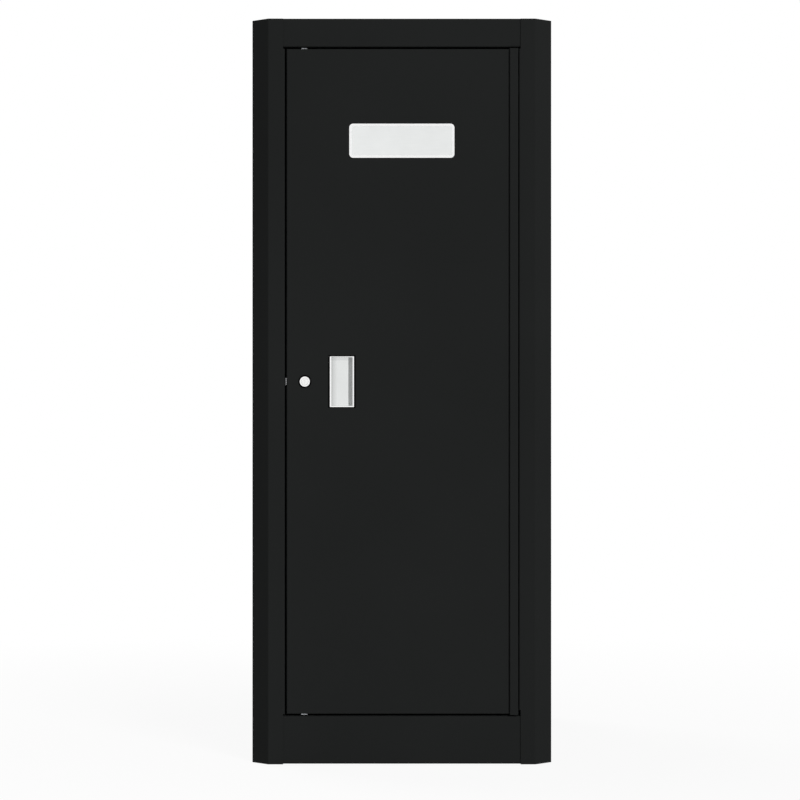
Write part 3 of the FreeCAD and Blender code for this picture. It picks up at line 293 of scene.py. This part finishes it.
shapeLook = {
    "bevelSteps": 2, "bevelAngle": 28, "smoothAngle": 32,
    "onePoint": 0.001 * mm,  # points nearer than this are joined
    "overcut": 1.0,  # how far a cutter or a joined block reaches past the surface, in millimetres
    "squarely": 0.9,  # the least share of a normal that counts as facing one way
}
toLeft, toRight, toFront, toBack = (-1, 0, 0), (1, 0, 0), (0, -1, 0), (0, 1, 0)


def workOn(piece):
    bpy.ops.object.select_all(action="DESELECT")
    piece.select_set(True)
    bpy.context.view_layer.objects.active = piece


def edit(piece):
    workOn(piece)
    bpy.ops.object.mode_set(mode="EDIT")


def pickFaces(piece, wanted):
    # in edit mode, selects the faces that suit by their middle and their normal
    bpy.ops.mesh.select_mode(type="FACE")
    bpy.ops.mesh.select_all(action="DESELECT")
    mesh = bmesh.from_edit_mesh(piece.data)
    for face in mesh.faces:
        if wanted(face.calc_center_median(), face.normal):
            face.select_set(True)
    bmesh.update_edit_mesh(piece.data)


def facesFront(middle, normal):
    return normal.y < -shapeLook["squarely"]


def facesBack(middle, normal):
    return normal.y > shapeLook["squarely"]


def pickEdges(piece, wanted):
    # in edit mode, selects the edges that suit by their middle and the way from end to end
    bpy.ops.mesh.select_mode(type="EDGE")
    bpy.ops.mesh.select_all(action="DESELECT")
    mesh = bmesh.from_edit_mesh(piece.data)
    for edge in mesh.edges:
        start, end = (vertex.co for vertex in edge.verts)
        if wanted((start + end) / 2, end - start):
            edge.select_set(True)
    bmesh.update_edit_mesh(piece.data)


def modify(piece, kind, settings):
    workOn(piece)
    modifier = piece.modifiers.new(kind.lower(), kind)
    for name, setting in settings.items():
        setattr(modifier, name, setting)
    bpy.ops.object.modifier_apply(modifier=modifier.name)


def soften(piece, width):
    # rounds the sharp edges
    modify(piece, "BEVEL", {
        "width": width, "segments": shapeLook["bevelSteps"],
        "limit_method": "ANGLE", "angle_limit": math.radians(shapeLook["bevelAngle"]),
    })


def mergeClose():
    # in edit mode, joins the points that lie on each other
    bpy.ops.mesh.select_all(action="SELECT")
    bpy.ops.mesh.remove_doubles(threshold=shapeLook["onePoint"])


def cut(piece, cutter, operation="DIFFERENCE"):
    modify(piece, "BOOLEAN", {"object": cutter, "operation": operation, "solver": "EXACT"})
    bpy.data.objects.remove(cutter)
    edit(piece)
    mergeClose()
    bpy.ops.object.mode_set(mode="OBJECT")


def block(name, low, high):
    bpy.ops.object.select_all(action="DESELECT")
    low, high = Vector(low), Vector(high)
    bpy.ops.mesh.primitive_cube_add(size=1, location=(low + high) / 2, scale=high - low)
    piece = bpy.context.object
    piece.name = piece.data.name = name
    bpy.ops.object.transform_apply(location=True, rotation=True, scale=True)
    return piece


def turned(name, outline, steps):
    # a shape turned about Z: the outline runs through (radius, height) points in millimetres
    bpy.ops.object.select_all(action="DESELECT")
    radius, height = outline[0]
    bpy.ops.mesh.primitive_plane_add(size=mm, location=(radius * mm, 0, height * mm))
    piece = bpy.context.object
    piece.name = piece.data.name = name
    edit(piece)
    bpy.ops.mesh.select_mode(type="VERT")
    bpy.ops.mesh.select_all(action="SELECT")
    bpy.ops.mesh.merge(type="CENTER")
    for before, after in zip(outline, outline[1:]):
        step = ((after[0] - before[0]) * mm, 0, (after[1] - before[1]) * mm)
        bpy.ops.mesh.extrude_region_move(TRANSFORM_OT_translate={"value": step})
    bpy.ops.mesh.select_all(action="SELECT")
    bpy.ops.mesh.spin(steps=steps, angle=2 * math.pi, center=(0, 0, 0), axis=(0, 0, 1))
    mergeClose()
    bpy.ops.mesh.normals_make_consistent(inside=False)
    bpy.ops.object.mode_set(mode="OBJECT")
    bpy.ops.object.transform_apply(location=True, rotation=True, scale=True)
    return piece


def crown(radius, low, high, steps):
    # the outline of a rounded top, from its middle out to its rim
    turns = [math.pi / 2 * i / steps for i in range(steps + 1)]
    return [(radius * math.sin(turn), low + (high - low) * math.cos(turn)) for turn in turns]


def thread(radius, depth, pitch, top, bottom):
    # the outline of a screw thread's ridges, from the top down
    outline = []
    for turn in range(int((top - bottom) / pitch)):
        outline += [(radius, top - turn * pitch), (radius - depth, top - (turn + 0.5) * pitch)]
    return outline


def setAt(piece, place, facing):
    # turns a shape made about Z to face a direction, and moves it to its place
    workOn(piece)
    piece.location = place
    piece.rotation_mode = "QUATERNION"
    piece.rotation_quaternion = Vector(facing).to_track_quat("Z", "Y")
    bpy.ops.object.transform_apply(location=True, rotation=True, scale=True)
    piece.rotation_mode = "XYZ"


def middleOf(low, high, depth):
    # the middle of a box as seen from the front, at a depth
    return ((low.x + high.x) / 2, depth, (low.z + high.z) / 2)


def heightsUp(low, high, radius, count):
    # the middles of a row of round heads that fills a box from bottom to top
    first, last = low.z + radius * mm, high.z - radius * mm
    return [first + (last - first) * i / (count - 1) for i in range(count)]


def repeat(name, pattern, places, facing):
    # copies one small piece to each of its places and joins the copies
    copies = []
    for place in places:
        workOn(pattern)
        bpy.ops.object.duplicate(linked=False)
        copy = bpy.context.object
        setAt(copy, place, facing)
        copies.append(copy)
    bpy.data.objects.remove(pattern)
    workOn(copies[0])
    for copy in copies:
        copy.select_set(True)
    bpy.ops.object.join()
    copies[0].name = copies[0].data.name = name
    return copies[0]


def install(piece, finish, body, standsFor=()):
    # shades a finished piece, gives it its finish and sets it on its body
    workOn(piece)
    bpy.ops.object.shade_smooth_by_angle(angle=math.radians(shapeLook["smoothAngle"]))
    if finish is not None:
        piece.data.materials.clear()
        piece.data.materials.append(finish)
    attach(piece, body)
    if standsFor:
        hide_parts(*standsFor)


def finishFaces(piece, finish, wanted):
    # gives some of a piece's faces another finish
    piece.data.materials.append(finish)
    edit(piece)
    pickFaces(piece, wanted)
    piece.active_material_index = len(piece.data.materials) - 1
    bpy.ops.object.material_slot_assign()
    bpy.ops.object.mode_set(mode="OBJECT")


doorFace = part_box("door_skin")[0].y
sealThickness = 0.4 * mm

pullLook = {
    "sideTrim": 0.55 * mm, "lowTrim": 0.25 * mm, "topTrim": 0.6 * mm, "edge": 0.15 * mm,
    "leftRim": 2.35 * mm, "rightRim": 1.95 * mm, "topRim": 0.5 * mm, "bottomRim": 1.6 * mm,
    "rimDepth": 1.4 * mm, "flangeBack": 1.5 * mm, "floor": 1.2 * mm, "draft": 0.5 * mm,
    "slope": 6.8 * mm, "slopeFacing": 0.8, "slopeEdge": 0.1 * mm, "slopeEnd": 1.0 * mm,
    "cup": {"colour": (0.775, 0.79, 0.785), "roughness": 0.22},
    "rim": {"colour": (1.0, 1.0, 1.0), "roughness": 0.2, "brushing": (1, 1, 0.05)},
    # painted shade: the sloped grip wall gets a darker copy of the cup's satin, for the shade on a wall
    # turned from the light
    "gripPaintedShade": {"colour": (0.67, 0.67, 0.67), "roughness": 0.3},
    # painted shade in the cup: darker near its left wall and in a band under its top rim
    "paintedSideShadeWidth": 8.0 * mm, "paintedSideShadeDimmest": 0.76,
    "paintedTopShadeDrop": 4.6 * mm, "paintedTopShadeLength": 1.5 * mm, "paintedTopShadeDimmest": 0.88,
}
lugLook = {
    "doorSheet": 1.5 * mm, "play": 0.15 * mm, "length": 9.0 * mm, "width": 12.0 * mm, "share": 0.24,
    "out": 1.4 * mm, "root": 0.5 * mm, "thin": 0.3 * mm, "sameEdge": 0.1 * mm,
}


def fitFace(now, then, depth):
    # extrudes the picked face and fits it from one rectangle to another
    (nowLow, nowHigh), (thenLow, thenHigh) = now, then
    middle, target = (nowLow + nowHigh) / 2, (thenLow + thenHigh) / 2
    wide = (thenHigh.x - thenLow.x) / (nowHigh.x - nowLow.x)
    tall = (thenHigh.z - thenLow.z) / (nowHigh.z - nowLow.z)
    bpy.ops.mesh.extrude_region_move(TRANSFORM_OT_translate={"value": (0, 0, 0)})
    bpy.ops.transform.resize(value=(wide, 1, tall), center_override=middle)
    bpy.ops.transform.translate(value=(target.x - middle.x, depth, target.z - middle.z))


def addSnapLugs(pull, low, high, look):
    # four wedges behind the door's sheet, which thin out towards the back
    front = doorFace + look["doorSheet"] + look["play"]
    back = front + look["length"]
    rise = (high.z - low.z) * look["share"]
    for side, wall in ((-1, low.x), (1, high.x)):
        root, out = wall - side * look["root"], wall + side * look["out"]
        tip = Vector((out, back))
        for middle in (low.z + rise, high.z - rise):
            bottom, top = middle - look["width"] / 2, middle + look["width"] / 2
            lug = block("lug", (min(root, out), front, bottom), (max(root, out), back, top))
            edit(lug)
            pickEdges(lug, lambda centre, run: (centre.xy - tip).length < look["sameEdge"])
            bpy.ops.transform.translate(value=(-side * (look["out"] + look["thin"]), 0, 0))
            bpy.ops.object.mode_set(mode="OBJECT")
            cut(pull, lug, "UNION")


def makeDoorPull(look):
    # a flush cup: a flange on the door, and a hollow with a sloped wall on the right to pull on
    low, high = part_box("pull_cup")
    low += Vector((look["sideTrim"], 0, look["lowTrim"]))
    high -= Vector((look["sideTrim"], 0, look["topTrim"]))
    flangeHigh = Vector((high.x, doorFace - sealThickness, high.z))
    mouthLow = Vector((low.x + look["leftRim"], low.y, low.z + look["bottomRim"]))
    mouthHigh = Vector((high.x - look["rightRim"], low.y, high.z - look["topRim"]))
    floorLow = mouthLow + Vector((look["draft"], 0, look["draft"]))
    floorHigh = mouthHigh - Vector((look["slope"], 0, look["draft"]))

    pull = block("doorPull", low, flangeHigh)
    edit(pull)
    pickFaces(pull, facesBack)
    bpy.ops.mesh.inset(thickness=look["flangeBack"])
    bpy.ops.mesh.extrude_region_move(TRANSFORM_OT_translate={"value": (0, high.y - flangeHigh.y, 0)})
    pickFaces(pull, facesFront)
    fitFace((low, Vector((high.x, low.y, high.z))), (mouthLow, mouthHigh), 0)
    fitFace((mouthLow, mouthHigh), (floorLow, floorHigh), high.y - look["floor"] - low.y)
    bpy.ops.object.mode_set(mode="OBJECT")
    inward = Vector((look["flangeBack"], 0, 0))
    addSnapLugs(pull, low + inward, high - inward, lugLook)
    soften(pull, look["edge"])

    def onRim(middle, normal):
        inMouth = (
            mouthLow.x + look["edge"] < middle.x < mouthHigh.x - look["edge"]
            and mouthLow.z + look["edge"] < middle.z < mouthHigh.z - look["edge"]
        )
        return middle.y < low.y + look["rimDepth"] and not inMouth

    def onSlope(middle, normal):
        inside = floorHigh.x < middle.x < mouthHigh.x - look["slopeEdge"]
        return normal.x < -look["slopeFacing"] and inside and middle.y < high.y - look["slopeEnd"]

    # painted shade: the cup's colour darkens near its left wall and in a band under the top rim, as the
    # shadow there
    paintedTopShadeStart = mouthHigh.z - look["paintedTopShadeDrop"]
    paintedShades = [
        ("X", floorLow.x, floorLow.x + look["paintedSideShadeWidth"], look["paintedSideShadeDimmest"]),
        ("Z", paintedTopShadeStart, paintedTopShadeStart - look["paintedTopShadeLength"], look["paintedTopShadeDimmest"]),
    ]
    pull.data.materials.append(makeSatin("satinCupPaintedShade", look["cup"], paintedShades))
    finishFaces(pull, makeSatin("satinRim", look["rim"]), onRim)
    # painted shade: the sloped wall takes the darker satin copy
    finishFaces(pull, makeSatin("satinGripPaintedShade", look["gripPaintedShade"]), onSlope)
    install(pull, None, "door", ["pull_cup"])


pullSealLook = {"sideMargin": 1.9 * mm, "endMargin": 1.0 * mm, "tuck": 0.6 * mm, "edge": 0.12 * mm}


def makePullSeal(look):
    # a thin foam frame between the pull's flange and the door; its near-black foam is a real seal and also
    # a painted shadow line round the pull
    low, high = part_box("pull_cup")
    out = Vector((look["sideMargin"], 0, look["endMargin"]))
    into = Vector((look["tuck"], 0, look["tuck"] / 2))
    past = shapeLook["overcut"] * mm
    front, back = Vector((low.x, doorFace - sealThickness, low.z)), Vector((high.x, doorFace, high.z))
    seal = block("pullSeal", front - out, back + out)
    front, back = Vector((low.x, doorFace - past, low.z)), Vector((high.x, doorFace + past, high.z))
    cut(seal, block("cutter", front + into, back - into))
    soften(seal, look["edge"])
    install(seal, foamSealShadowLine, "door")


makeDoorPull(pullLook)
makePullSeal(pullSealLook)
print("door pull set in its seal")

# the lock's own sizes are in millimetres, because its pieces are turned
headLook = {
    "trim": 0.4, "mouth": [(5.6, -0.35), (5.9, -0.05), (6.5, 0)],  # radius and height of the inner lip
    "brim": [(0.9, -0.12), (0.3, -0.45), (0, -0.9)],  # way in from the edge and height of the outer lip
    "barrelStep": 0.85, "pitch": 1.0, "threadDepth": 0.35, "steps": 64,
    "nickel": {"colour": (1.0, 1.0, 0.995), "roughness": 0.16},
}
lockSealLook = {"margin": 2.1, "tuck": 1.5, "bevelIn": 0.15, "bevelDown": 0.1, "steps": 64}


def headRadius():
    low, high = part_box("lock_housing")
    return (high.x - low.x) / 2 / mm - headLook["trim"]


def makeLockHead(look):
    # a bright ring in front of the door, with a threaded barrel through it
    low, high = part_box("lock_housing")
    centre = middleOf(low, high, low.y)
    radius, bore = headRadius(), look["mouth"][0][0]
    barrel = radius - look["barrelStep"]
    seat = (low.y - doorFace + sealThickness) / mm
    end = (low.y - high.y) / mm
    outline = [(bore, end)] + look["mouth"] + [(radius - inward, height) for inward, height in look["brim"]]
    outline += [(radius, seat)] + thread(barrel, look["threadDepth"], look["pitch"], seat, end)
    outline += [(barrel - look["threadDepth"], end), (bore, end)]
    head = turned("lockHead", outline, look["steps"])
    setAt(head, centre, toFront)
    nickel = makeNickel("nickelRing", look["nickel"], centre)
    install(head, nickel, "door", ["lock_housing"])


def makeLockSeal(look):
    # a thin foam washer between the lock head and the door; its near-black foam is a real seal and also a
    # painted shadow line round the lock
    low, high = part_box("lock_housing")
    rim, hole, thick = headRadius() + look["margin"], headRadius() - look["tuck"], sealThickness / mm
    outline = [(hole, 0), (rim, 0), (rim, thick - look["bevelDown"]), (rim - look["bevelIn"], thick)]
    washer = turned("lockSeal", outline + [(hole, thick), (hole, 0)], look["steps"])
    setAt(washer, middleOf(low, high, doorFace), toFront)
    install(washer, foamSealShadowLine, "door")


plugLook = {
    "bevel": 0.25, "grooveIn": 4.3, "grooveOut": 4.75, "grooveSlope": 0.1, "grooveDepth": 0.15, "steps": 64,
    "tail": 6.0, "tailEdge": 0.4, "keyWide": 1.4, "keyTall": 6.6, "keyDeep": 5.0,
    "notchRoot": 0.2, "notchOut": 0.35, "notchLow": -0.8, "notchHigh": 0.1,
    "nickel": {"colour": (0.92, 0.92, 0.91), "roughness": 0.24},
}


def cutKeyway(plug, look):
    # a slot for the key, with a notch along its right side
    wide, tall, deep = look["keyWide"] * mm / 2, look["keyTall"] * mm / 2, look["keyDeep"] * mm
    past = shapeLook["overcut"] * mm
    slot = block("cutter", (-wide, -tall, -deep), (wide, tall, past))
    notchLow = (wide - look["notchRoot"] * mm, look["notchLow"] * mm, -deep)
    notchHigh = (wide + look["notchOut"] * mm, look["notchHigh"] * mm, past)
    notch = block("notch", notchLow, notchHigh)
    cut(plug, slot)
    cut(plug, notch)


def makeLockPlug(look):
    # the round plug with a groove in its face, a square tail for the cam and a keyway
    low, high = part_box("lock_plug")
    centre = middleOf(low, high, low.y)
    radius = (high.x - low.x) / 2 / mm
    shoulder = (low.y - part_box("lock_housing")[1].y) / mm
    end = (low.y - high.y) / mm
    plug = turned("lockPlug", [
        (0, 0), (look["grooveIn"], 0), (look["grooveIn"] + look["grooveSlope"], -look["grooveDepth"]),
        (look["grooveOut"] - look["grooveSlope"], -look["grooveDepth"]), (look["grooveOut"], 0),
        (radius - look["bevel"], 0), (radius, -look["bevel"]), (radius, shoulder), (0, shoulder),
    ], look["steps"])
    side = look["tail"] * mm / 2
    tail = block("tail", (-side, -side, end * mm), (side, side, (shoulder + shapeLook["overcut"]) * mm))
    soften(tail, look["tailEdge"] * mm)
    cut(plug, tail, "UNION")
    cutKeyway(plug, look)
    setAt(plug, centre, toFront)
    nickel = makeNickel("nickelPlug", look["nickel"], centre)
    install(plug, nickel, "lock_core", ["lock_plug"])


nutLook = {"flatLess": 0.2, "fall": 0.9, "clear": 0.3, "play": 0.1, "lead": 0.5, "steps": 64}


def makeLockNut(look):
    # a hexagon nut with chamfered corners and a bore that is countersunk at both ends
    low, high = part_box("lock_nut")
    thick, across = (high.y - low.y) / mm, (high.z - low.z) / mm
    corner = across / math.sqrt(3)
    bpy.ops.object.select_all(action="DESELECT")
    bpy.ops.mesh.primitive_cylinder_add(
        vertices=6, radius=corner * mm, depth=thick * mm,
        location=(0, 0, -thick * mm / 2), rotation=(0, 0, math.pi / 6),
    )
    nut = bpy.context.object
    nut.name = nut.data.name = "lockNut"
    bpy.ops.object.transform_apply(location=True, rotation=True, scale=True)
    flat, wide = across / 2 - look["flatLess"], corner + look["clear"]
    fall, lead, past = look["fall"], look["lead"], shapeLook["overcut"]
    lens = [(0, 0), (flat, 0), (wide, -fall), (wide, fall - thick), (flat, -thick), (0, -thick)]
    cut(nut, turned("lens", lens, look["steps"]), "INTERSECT")
    radius = headRadius() - headLook["barrelStep"] + look["play"]
    bore = [(0, past), (radius + past, past), (radius, -lead), (radius, lead - thick)]
    bore += [(radius + past, -thick - past), (0, -thick - past)]
    cut(nut, turned("bore", bore, look["steps"]))
    setAt(nut, middleOf(low, high, high.y), toBack)
    install(nut, zincPlate, "door", ["lock_nut"])


# painted light: a paler zinc for the bolt tip, which the gap keeps in shade
boltLook = {
    "longer": 0.55 * mm, "edge": 0.15 * mm, "colour": (0.90, 0.91, 0.93), "shade": 0.04,
    "streakDepth": 0.002 * mm, "roughest": 0.36, "smoothest": 0.26,
}


def makeSideBolt(look):
    # a copy of the frame's own bolt, with eased edges and a tip that nearly fills the door's gap; its zinc
    # is painted paler, as painted light on a tip that sits in the gap's shade
    bolt = bpy.data.objects.new("sideBolt", nodes["side_bolt"].data.copy())
    bpy.context.collection.objects.link(bolt)
    edit(bolt)
    mergeClose()
    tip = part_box("side_bolt")[0].x
    pickFaces(bolt, lambda middle, normal: middle.x < tip + look["edge"])
    bpy.ops.transform.translate(value=(-look["longer"], 0, 0))
    bpy.ops.object.mode_set(mode="OBJECT")
    soften(bolt, look["edge"])
    zincPaintedLight = makeZincPlate("zincPaintedLight", {**zincLook, **look})
    install(bolt, zincPaintedLight, "side_bolt", ["side_bolt"])


makeLockHead(headLook)
makeLockSeal(lockSealLook)
makeLockPlug(plugLook)
makeLockNut(nutLook)
makeSideBolt(boltLook)
print("lock head, plug and nut turned, bolt eased")

plateLook = {
    "corner": 6.0 * mm, "cornerSteps": 8, "border": 3.2 * mm, "sink": 0.7 * mm, "edge": 0.35 * mm,
    "frameDepth": 0.5 * mm, "frameFacing": 0.5,
    "field": {"colour": (0.80, 0.815, 0.81), "roughness": 0.22, "metal": 0.7, "brushing": (0.02, 1, 1)},
    "frame": {"colour": (0.90, 0.90, 0.90), "roughness": 0.2, "metal": 0.9, "brushing": (1, 1, 0.05)},
}


def makeNamePlate(look):
    # a bare plate with round corners and a sunk, brushed field in a bright frame
    low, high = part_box("door_badge")
    plate = block("namePlate", low, high)
    edit(plate)
    pickEdges(plate, lambda middle, run: abs(run.y) > (high.y - low.y) / 2)
    bpy.ops.mesh.bevel(offset=look["corner"], segments=look["cornerSteps"], affect="EDGES")
    pickFaces(plate, facesFront)
    bpy.ops.mesh.inset(thickness=look["border"])
    bpy.ops.mesh.inset(thickness=look["sink"], depth=-look["sink"])
    bpy.ops.object.mode_set(mode="OBJECT")
    soften(plate, look["edge"])

    def onFrame(middle, normal):
        return middle.y < low.y + look["frameDepth"] or normal.y > -look["frameFacing"]

    plate.data.materials.append(makeSatin("brushedField", look["field"]))
    finishFaces(plate, makeSatin("brightFrame", look["frame"]), onFrame)
    install(plate, None, "door", ["door_badge"])


makeNamePlate(plateLook)
print("bare nameplate pressed")

# fasteners are turned too, so their sizes are in millimetres
screwLook = {
    "crownFrom": 0.45, "crownSteps": 6, "bevel": 0.25, "steps": 32,
    "threadDepth": 0.25, "pitch": 0.7, "threadFrom": 0.4,
    "recess": 3.6, "recessWidth": 0.8, "recessDepth": 1.2,
}
hingeScrewLook = {**screwLook, "head": 3.6, "height": 2.0, "shank": 2.0, "count": 10}
camScrewLook = {**screwLook, "head": 3.8, "height": 2.7, "shank": 1.5}


def panHeadScrew(name, length, look):
    # a screw with a rounded head, a cross recess and a thread
    head, height, shank, bevel = look["head"], look["height"], look["shank"], look["bevel"]
    outline = crown(head, height * look["crownFrom"], height, look["crownSteps"])
    outline += [(head, bevel), (head - bevel, 0), (shank, 0)]
    outline += thread(shank, look["threadDepth"], look["pitch"], -look["threadFrom"], -length)
    outline += [(shank - look["threadDepth"], -length), (0, -length)]
    screw = turned(name, outline, look["steps"])
    bottom, top = (height - look["recessDepth"]) * mm, (height + shapeLook["overcut"]) * mm
    for x, y in ((look["recess"], look["recessWidth"]), (look["recessWidth"], look["recess"])):
        cutter = block("cutter", (-x * mm / 2, -y * mm / 2, bottom), (x * mm / 2, y * mm / 2, top))
        cut(screw, cutter)
    return screw


def makeHingeScrews(look):
    low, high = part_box("hinge_frame_screws")
    seat = low.x + look["height"] * mm
    screw = panHeadScrew("screw", (high.x - seat) / mm, look)
    heights = heightsUp(low, high, look["head"], look["count"])
    places = [(seat, (low.y + high.y) / 2, height) for height in heights]
    screws = repeat("hingeScrews", screw, places, toLeft)
    install(screws, zincPlate, "carcass", ["hinge_frame_screws"])


def makeCamScrew(look):
    low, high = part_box("cam_screw")
    seat = high.y - look["height"] * mm
    screw = panHeadScrew("camScrew", (seat - low.y) / mm, look)
    setAt(screw, middleOf(low, high, seat), toBack)
    install(screw, zincPlate, "lock_core", ["cam_screw"])


rivetLook = {
    "head": 3.6, "height": 1.0, "crownFrom": 0.1, "crownSteps": 9, "steps": 32,
    "mandrel": 1.0, "mandrelPlay": 0.1, "mandrelTop": 0.35,
    "shank": 2.0, "shankEnd": [(1, 0.6), (0.97, 0.8), (0.7, 1)],  # shares of its radius and its length
    "hingeCount": 10, "backCount": 8,
}


def blindRivet(length, look):
    # a domed head, hollow about the end of its mandrel, and a shank that narrows to its end
    head, height, pin = look["head"], look["height"], look["mandrel"]
    pinTop = height * look["mandrelTop"]
    dome = crown(head, look["crownFrom"], height, look["crownSteps"])
    outline = [(0, pinTop), (pin - look["mandrelPlay"], pinTop)]
    outline += [point for point in dome if point[0] > pin] + [(head, 0), (look["shank"], 0)]
    outline += [(look["shank"] * wide, -length * down) for wide, down in look["shankEnd"]]
    return turned("rivet", outline + [(0, -length)], look["steps"])


def makeHingeRivets(look):
    low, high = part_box("hinge_door_rivets")
    seat = high.x - look["height"] * mm
    rivet = blindRivet((seat - low.x) / mm, look)
    heights = heightsUp(low, high, look["head"], look["hingeCount"])
    places = [(seat, (low.y + high.y) / 2, height) for height in heights]
    rivets = repeat("hingeRivets", rivet, places, toRight)
    install(rivets, zincPlate, "door", ["hinge_door_rivets"])


def makeBackRivets(look):
    low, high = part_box("back_rivets")
    seat = high.y - look["height"] * mm
    rivet = blindRivet((seat - low.y) / mm, look)
    across = (low.x + look["head"] * mm, high.x - look["head"] * mm)
    heights = heightsUp(low, high, look["head"], look["backCount"])
    places = [(x, seat, height) for x in across for height in heights]
    rivets = repeat("backRivets", rivet, places, toBack)
    install(rivets, zincPlate, "carcass", ["back_rivets"])


makeHingeScrews(hingeScrewLook)
makeHingeRivets(rivetLook)
makeBackRivets(rivetLook)
makeCamScrew(camScrewLook)
print("screws and rivets driven")

bumperLook = {
    "radius": 4.5, "flange": 0.35, "flangeTop": 0.8, "flangeEdge": 0.6,
    "crownFrom": 0.48, "crownSteps": 8, "steps": 40,
}


def makeBumpers(look):
    # round rubber buttons with a thin flange; sizes in millimetres
    low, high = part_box("door_bumpers")
    radius, tall = look["radius"], (high.y - low.y) / mm
    body = radius - look["flange"]
    outline = crown(body, tall * look["crownFrom"], tall, look["crownSteps"])
    outline += [(body, look["flangeTop"]), (radius, look["flangeEdge"]), (radius, 0), (0, 0)]
    bumper = turned("bumper", outline, look["steps"])
    across = (low.x + radius * mm, high.x - radius * mm)
    up = (low.z + radius * mm, high.z - radius * mm)
    bumpers = repeat("doorBumpers", bumper, [(x, high.y, z) for x in across for z in up], toFront)
    install(bumpers, blackRubber, "carcass", ["door_bumpers"])


makeBumpers(bumperLook)
print("rubber bumpers stuck on")

studio = {
    "floorSize": 24.0, "floorColour": (0.9, 0.9, 0.9), "worldLight": 0.09,
    "whiteNear": 0.92, "whiteFar": 1.0, "fadeFrom": 0.5, "fadeTo": 1.9,
    "keyLight": {"turn": 26, "height": 22, "power": 2.55, "spread": 20, "inGloss": False},
    "rearLight": {"turn": 218, "height": 36, "power": 1.4, "spread": 30, "inGloss": True},
}


def seenDirectly(finish):
    # 1 where the camera, gloss or glass looks, and 0 for the light that falls on things
    camera = finish.node("ShaderNodeLightPath", {}, {}, "Is Camera Ray")
    largest = {"operation": "MAXIMUM"}
    seen = finish.node("ShaderNodeMath", largest, {0: camera, 1: camera.also("Is Glossy Ray")})
    return finish.node("ShaderNodeMath", largest, {0: seen, 1: camera.also("Is Transmission Ray")})


def makeAir(look):
    # white all round where it is seen, and a faint light on the locker
    world = bpy.data.worlds.new("studio")
    bpy.context.scene.world = world
    world.use_nodes = True
    air = Finish("studio", world.node_tree)
    lit = air.node("ShaderNodeBackground", {}, {"Color": (1, 1, 1, 1), "Strength": look["worldLight"]})
    white = air.node("ShaderNodeBackground", {}, {"Color": (1, 1, 1, 1), "Strength": 1.0})
    both = air.node("ShaderNodeMixShader", {}, {0: seenDirectly(air), 1: lit, 2: white})
    air.node("ShaderNodeOutputWorld", {}, {"Surface": both})


def makeFloor(look):
    # pale paper that takes the locker's shadow and fades to white further out
    bpy.ops.object.select_all(action="DESELECT")
    bpy.ops.mesh.primitive_plane_add(size=look["floorSize"])
    floor = bpy.context.object
    floor.name = "floor"
    paper = Finish("floorPaper")
    matt = paper.node("ShaderNodeBsdfDiffuse", {}, {"Color": (*look["floorColour"], 1)})
    glow = paper.node("ShaderNodeEmission", {}, {"Color": (1, 1, 1, 1), "Strength": 1.0})
    away = paper.node("ShaderNodeVectorMath", {"operation": "LENGTH"}, {0: paper.place()}, "Value")
    white = paper.between(away, look["fadeFrom"], look["fadeTo"], look["whiteNear"], look["whiteFar"])
    seen = seenDirectly(paper) * white
    surface = paper.node("ShaderNodeMixShader", {}, {0: seen, 1: matt, 2: glow})
    paper.node("ShaderNodeOutputMaterial", {}, {"Surface": surface})
    floor.data.materials.append(paper.material)


def softSun(name, look):
    # a far soft light: its turn goes round from the front to the viewer's right
    bpy.ops.object.light_add(type="SUN")
    sun = bpy.context.object
    sun.name = name
    sun.data.energy = look["power"]
    sun.data.angle = math.radians(look["spread"])
    sun.visible_glossy = look["inGloss"]
    turn, height = math.radians(look["turn"]), math.radians(look["height"])
    level = math.cos(height)
    towards = Vector((math.sin(turn) * level, -math.cos(turn) * level, math.sin(height)))
    sun.rotation_euler = towards.to_track_quat("Z", "Y").to_euler()


makeAir(studio)
makeFloor(studio)
for name in ("keyLight", "rearLight"):
    softSun(name, studio[name])
print("studio lit")

cameraLook = {"place": (-0.0028, -4.36625, 0.554), "lens": 119.87, "sensor": 36.0}
bpy.ops.object.camera_add(location=cameraLook["place"], rotation=(math.pi / 2, 0, 0))
camera = bpy.context.object
camera.data.sensor_width = cameraLook["sensor"]
camera.data.lens = cameraLook["lens"]
bpy.context.scene.camera = camera
bpy.context.scene.view_settings.view_transform = "Standard"

print("locker scene finished")
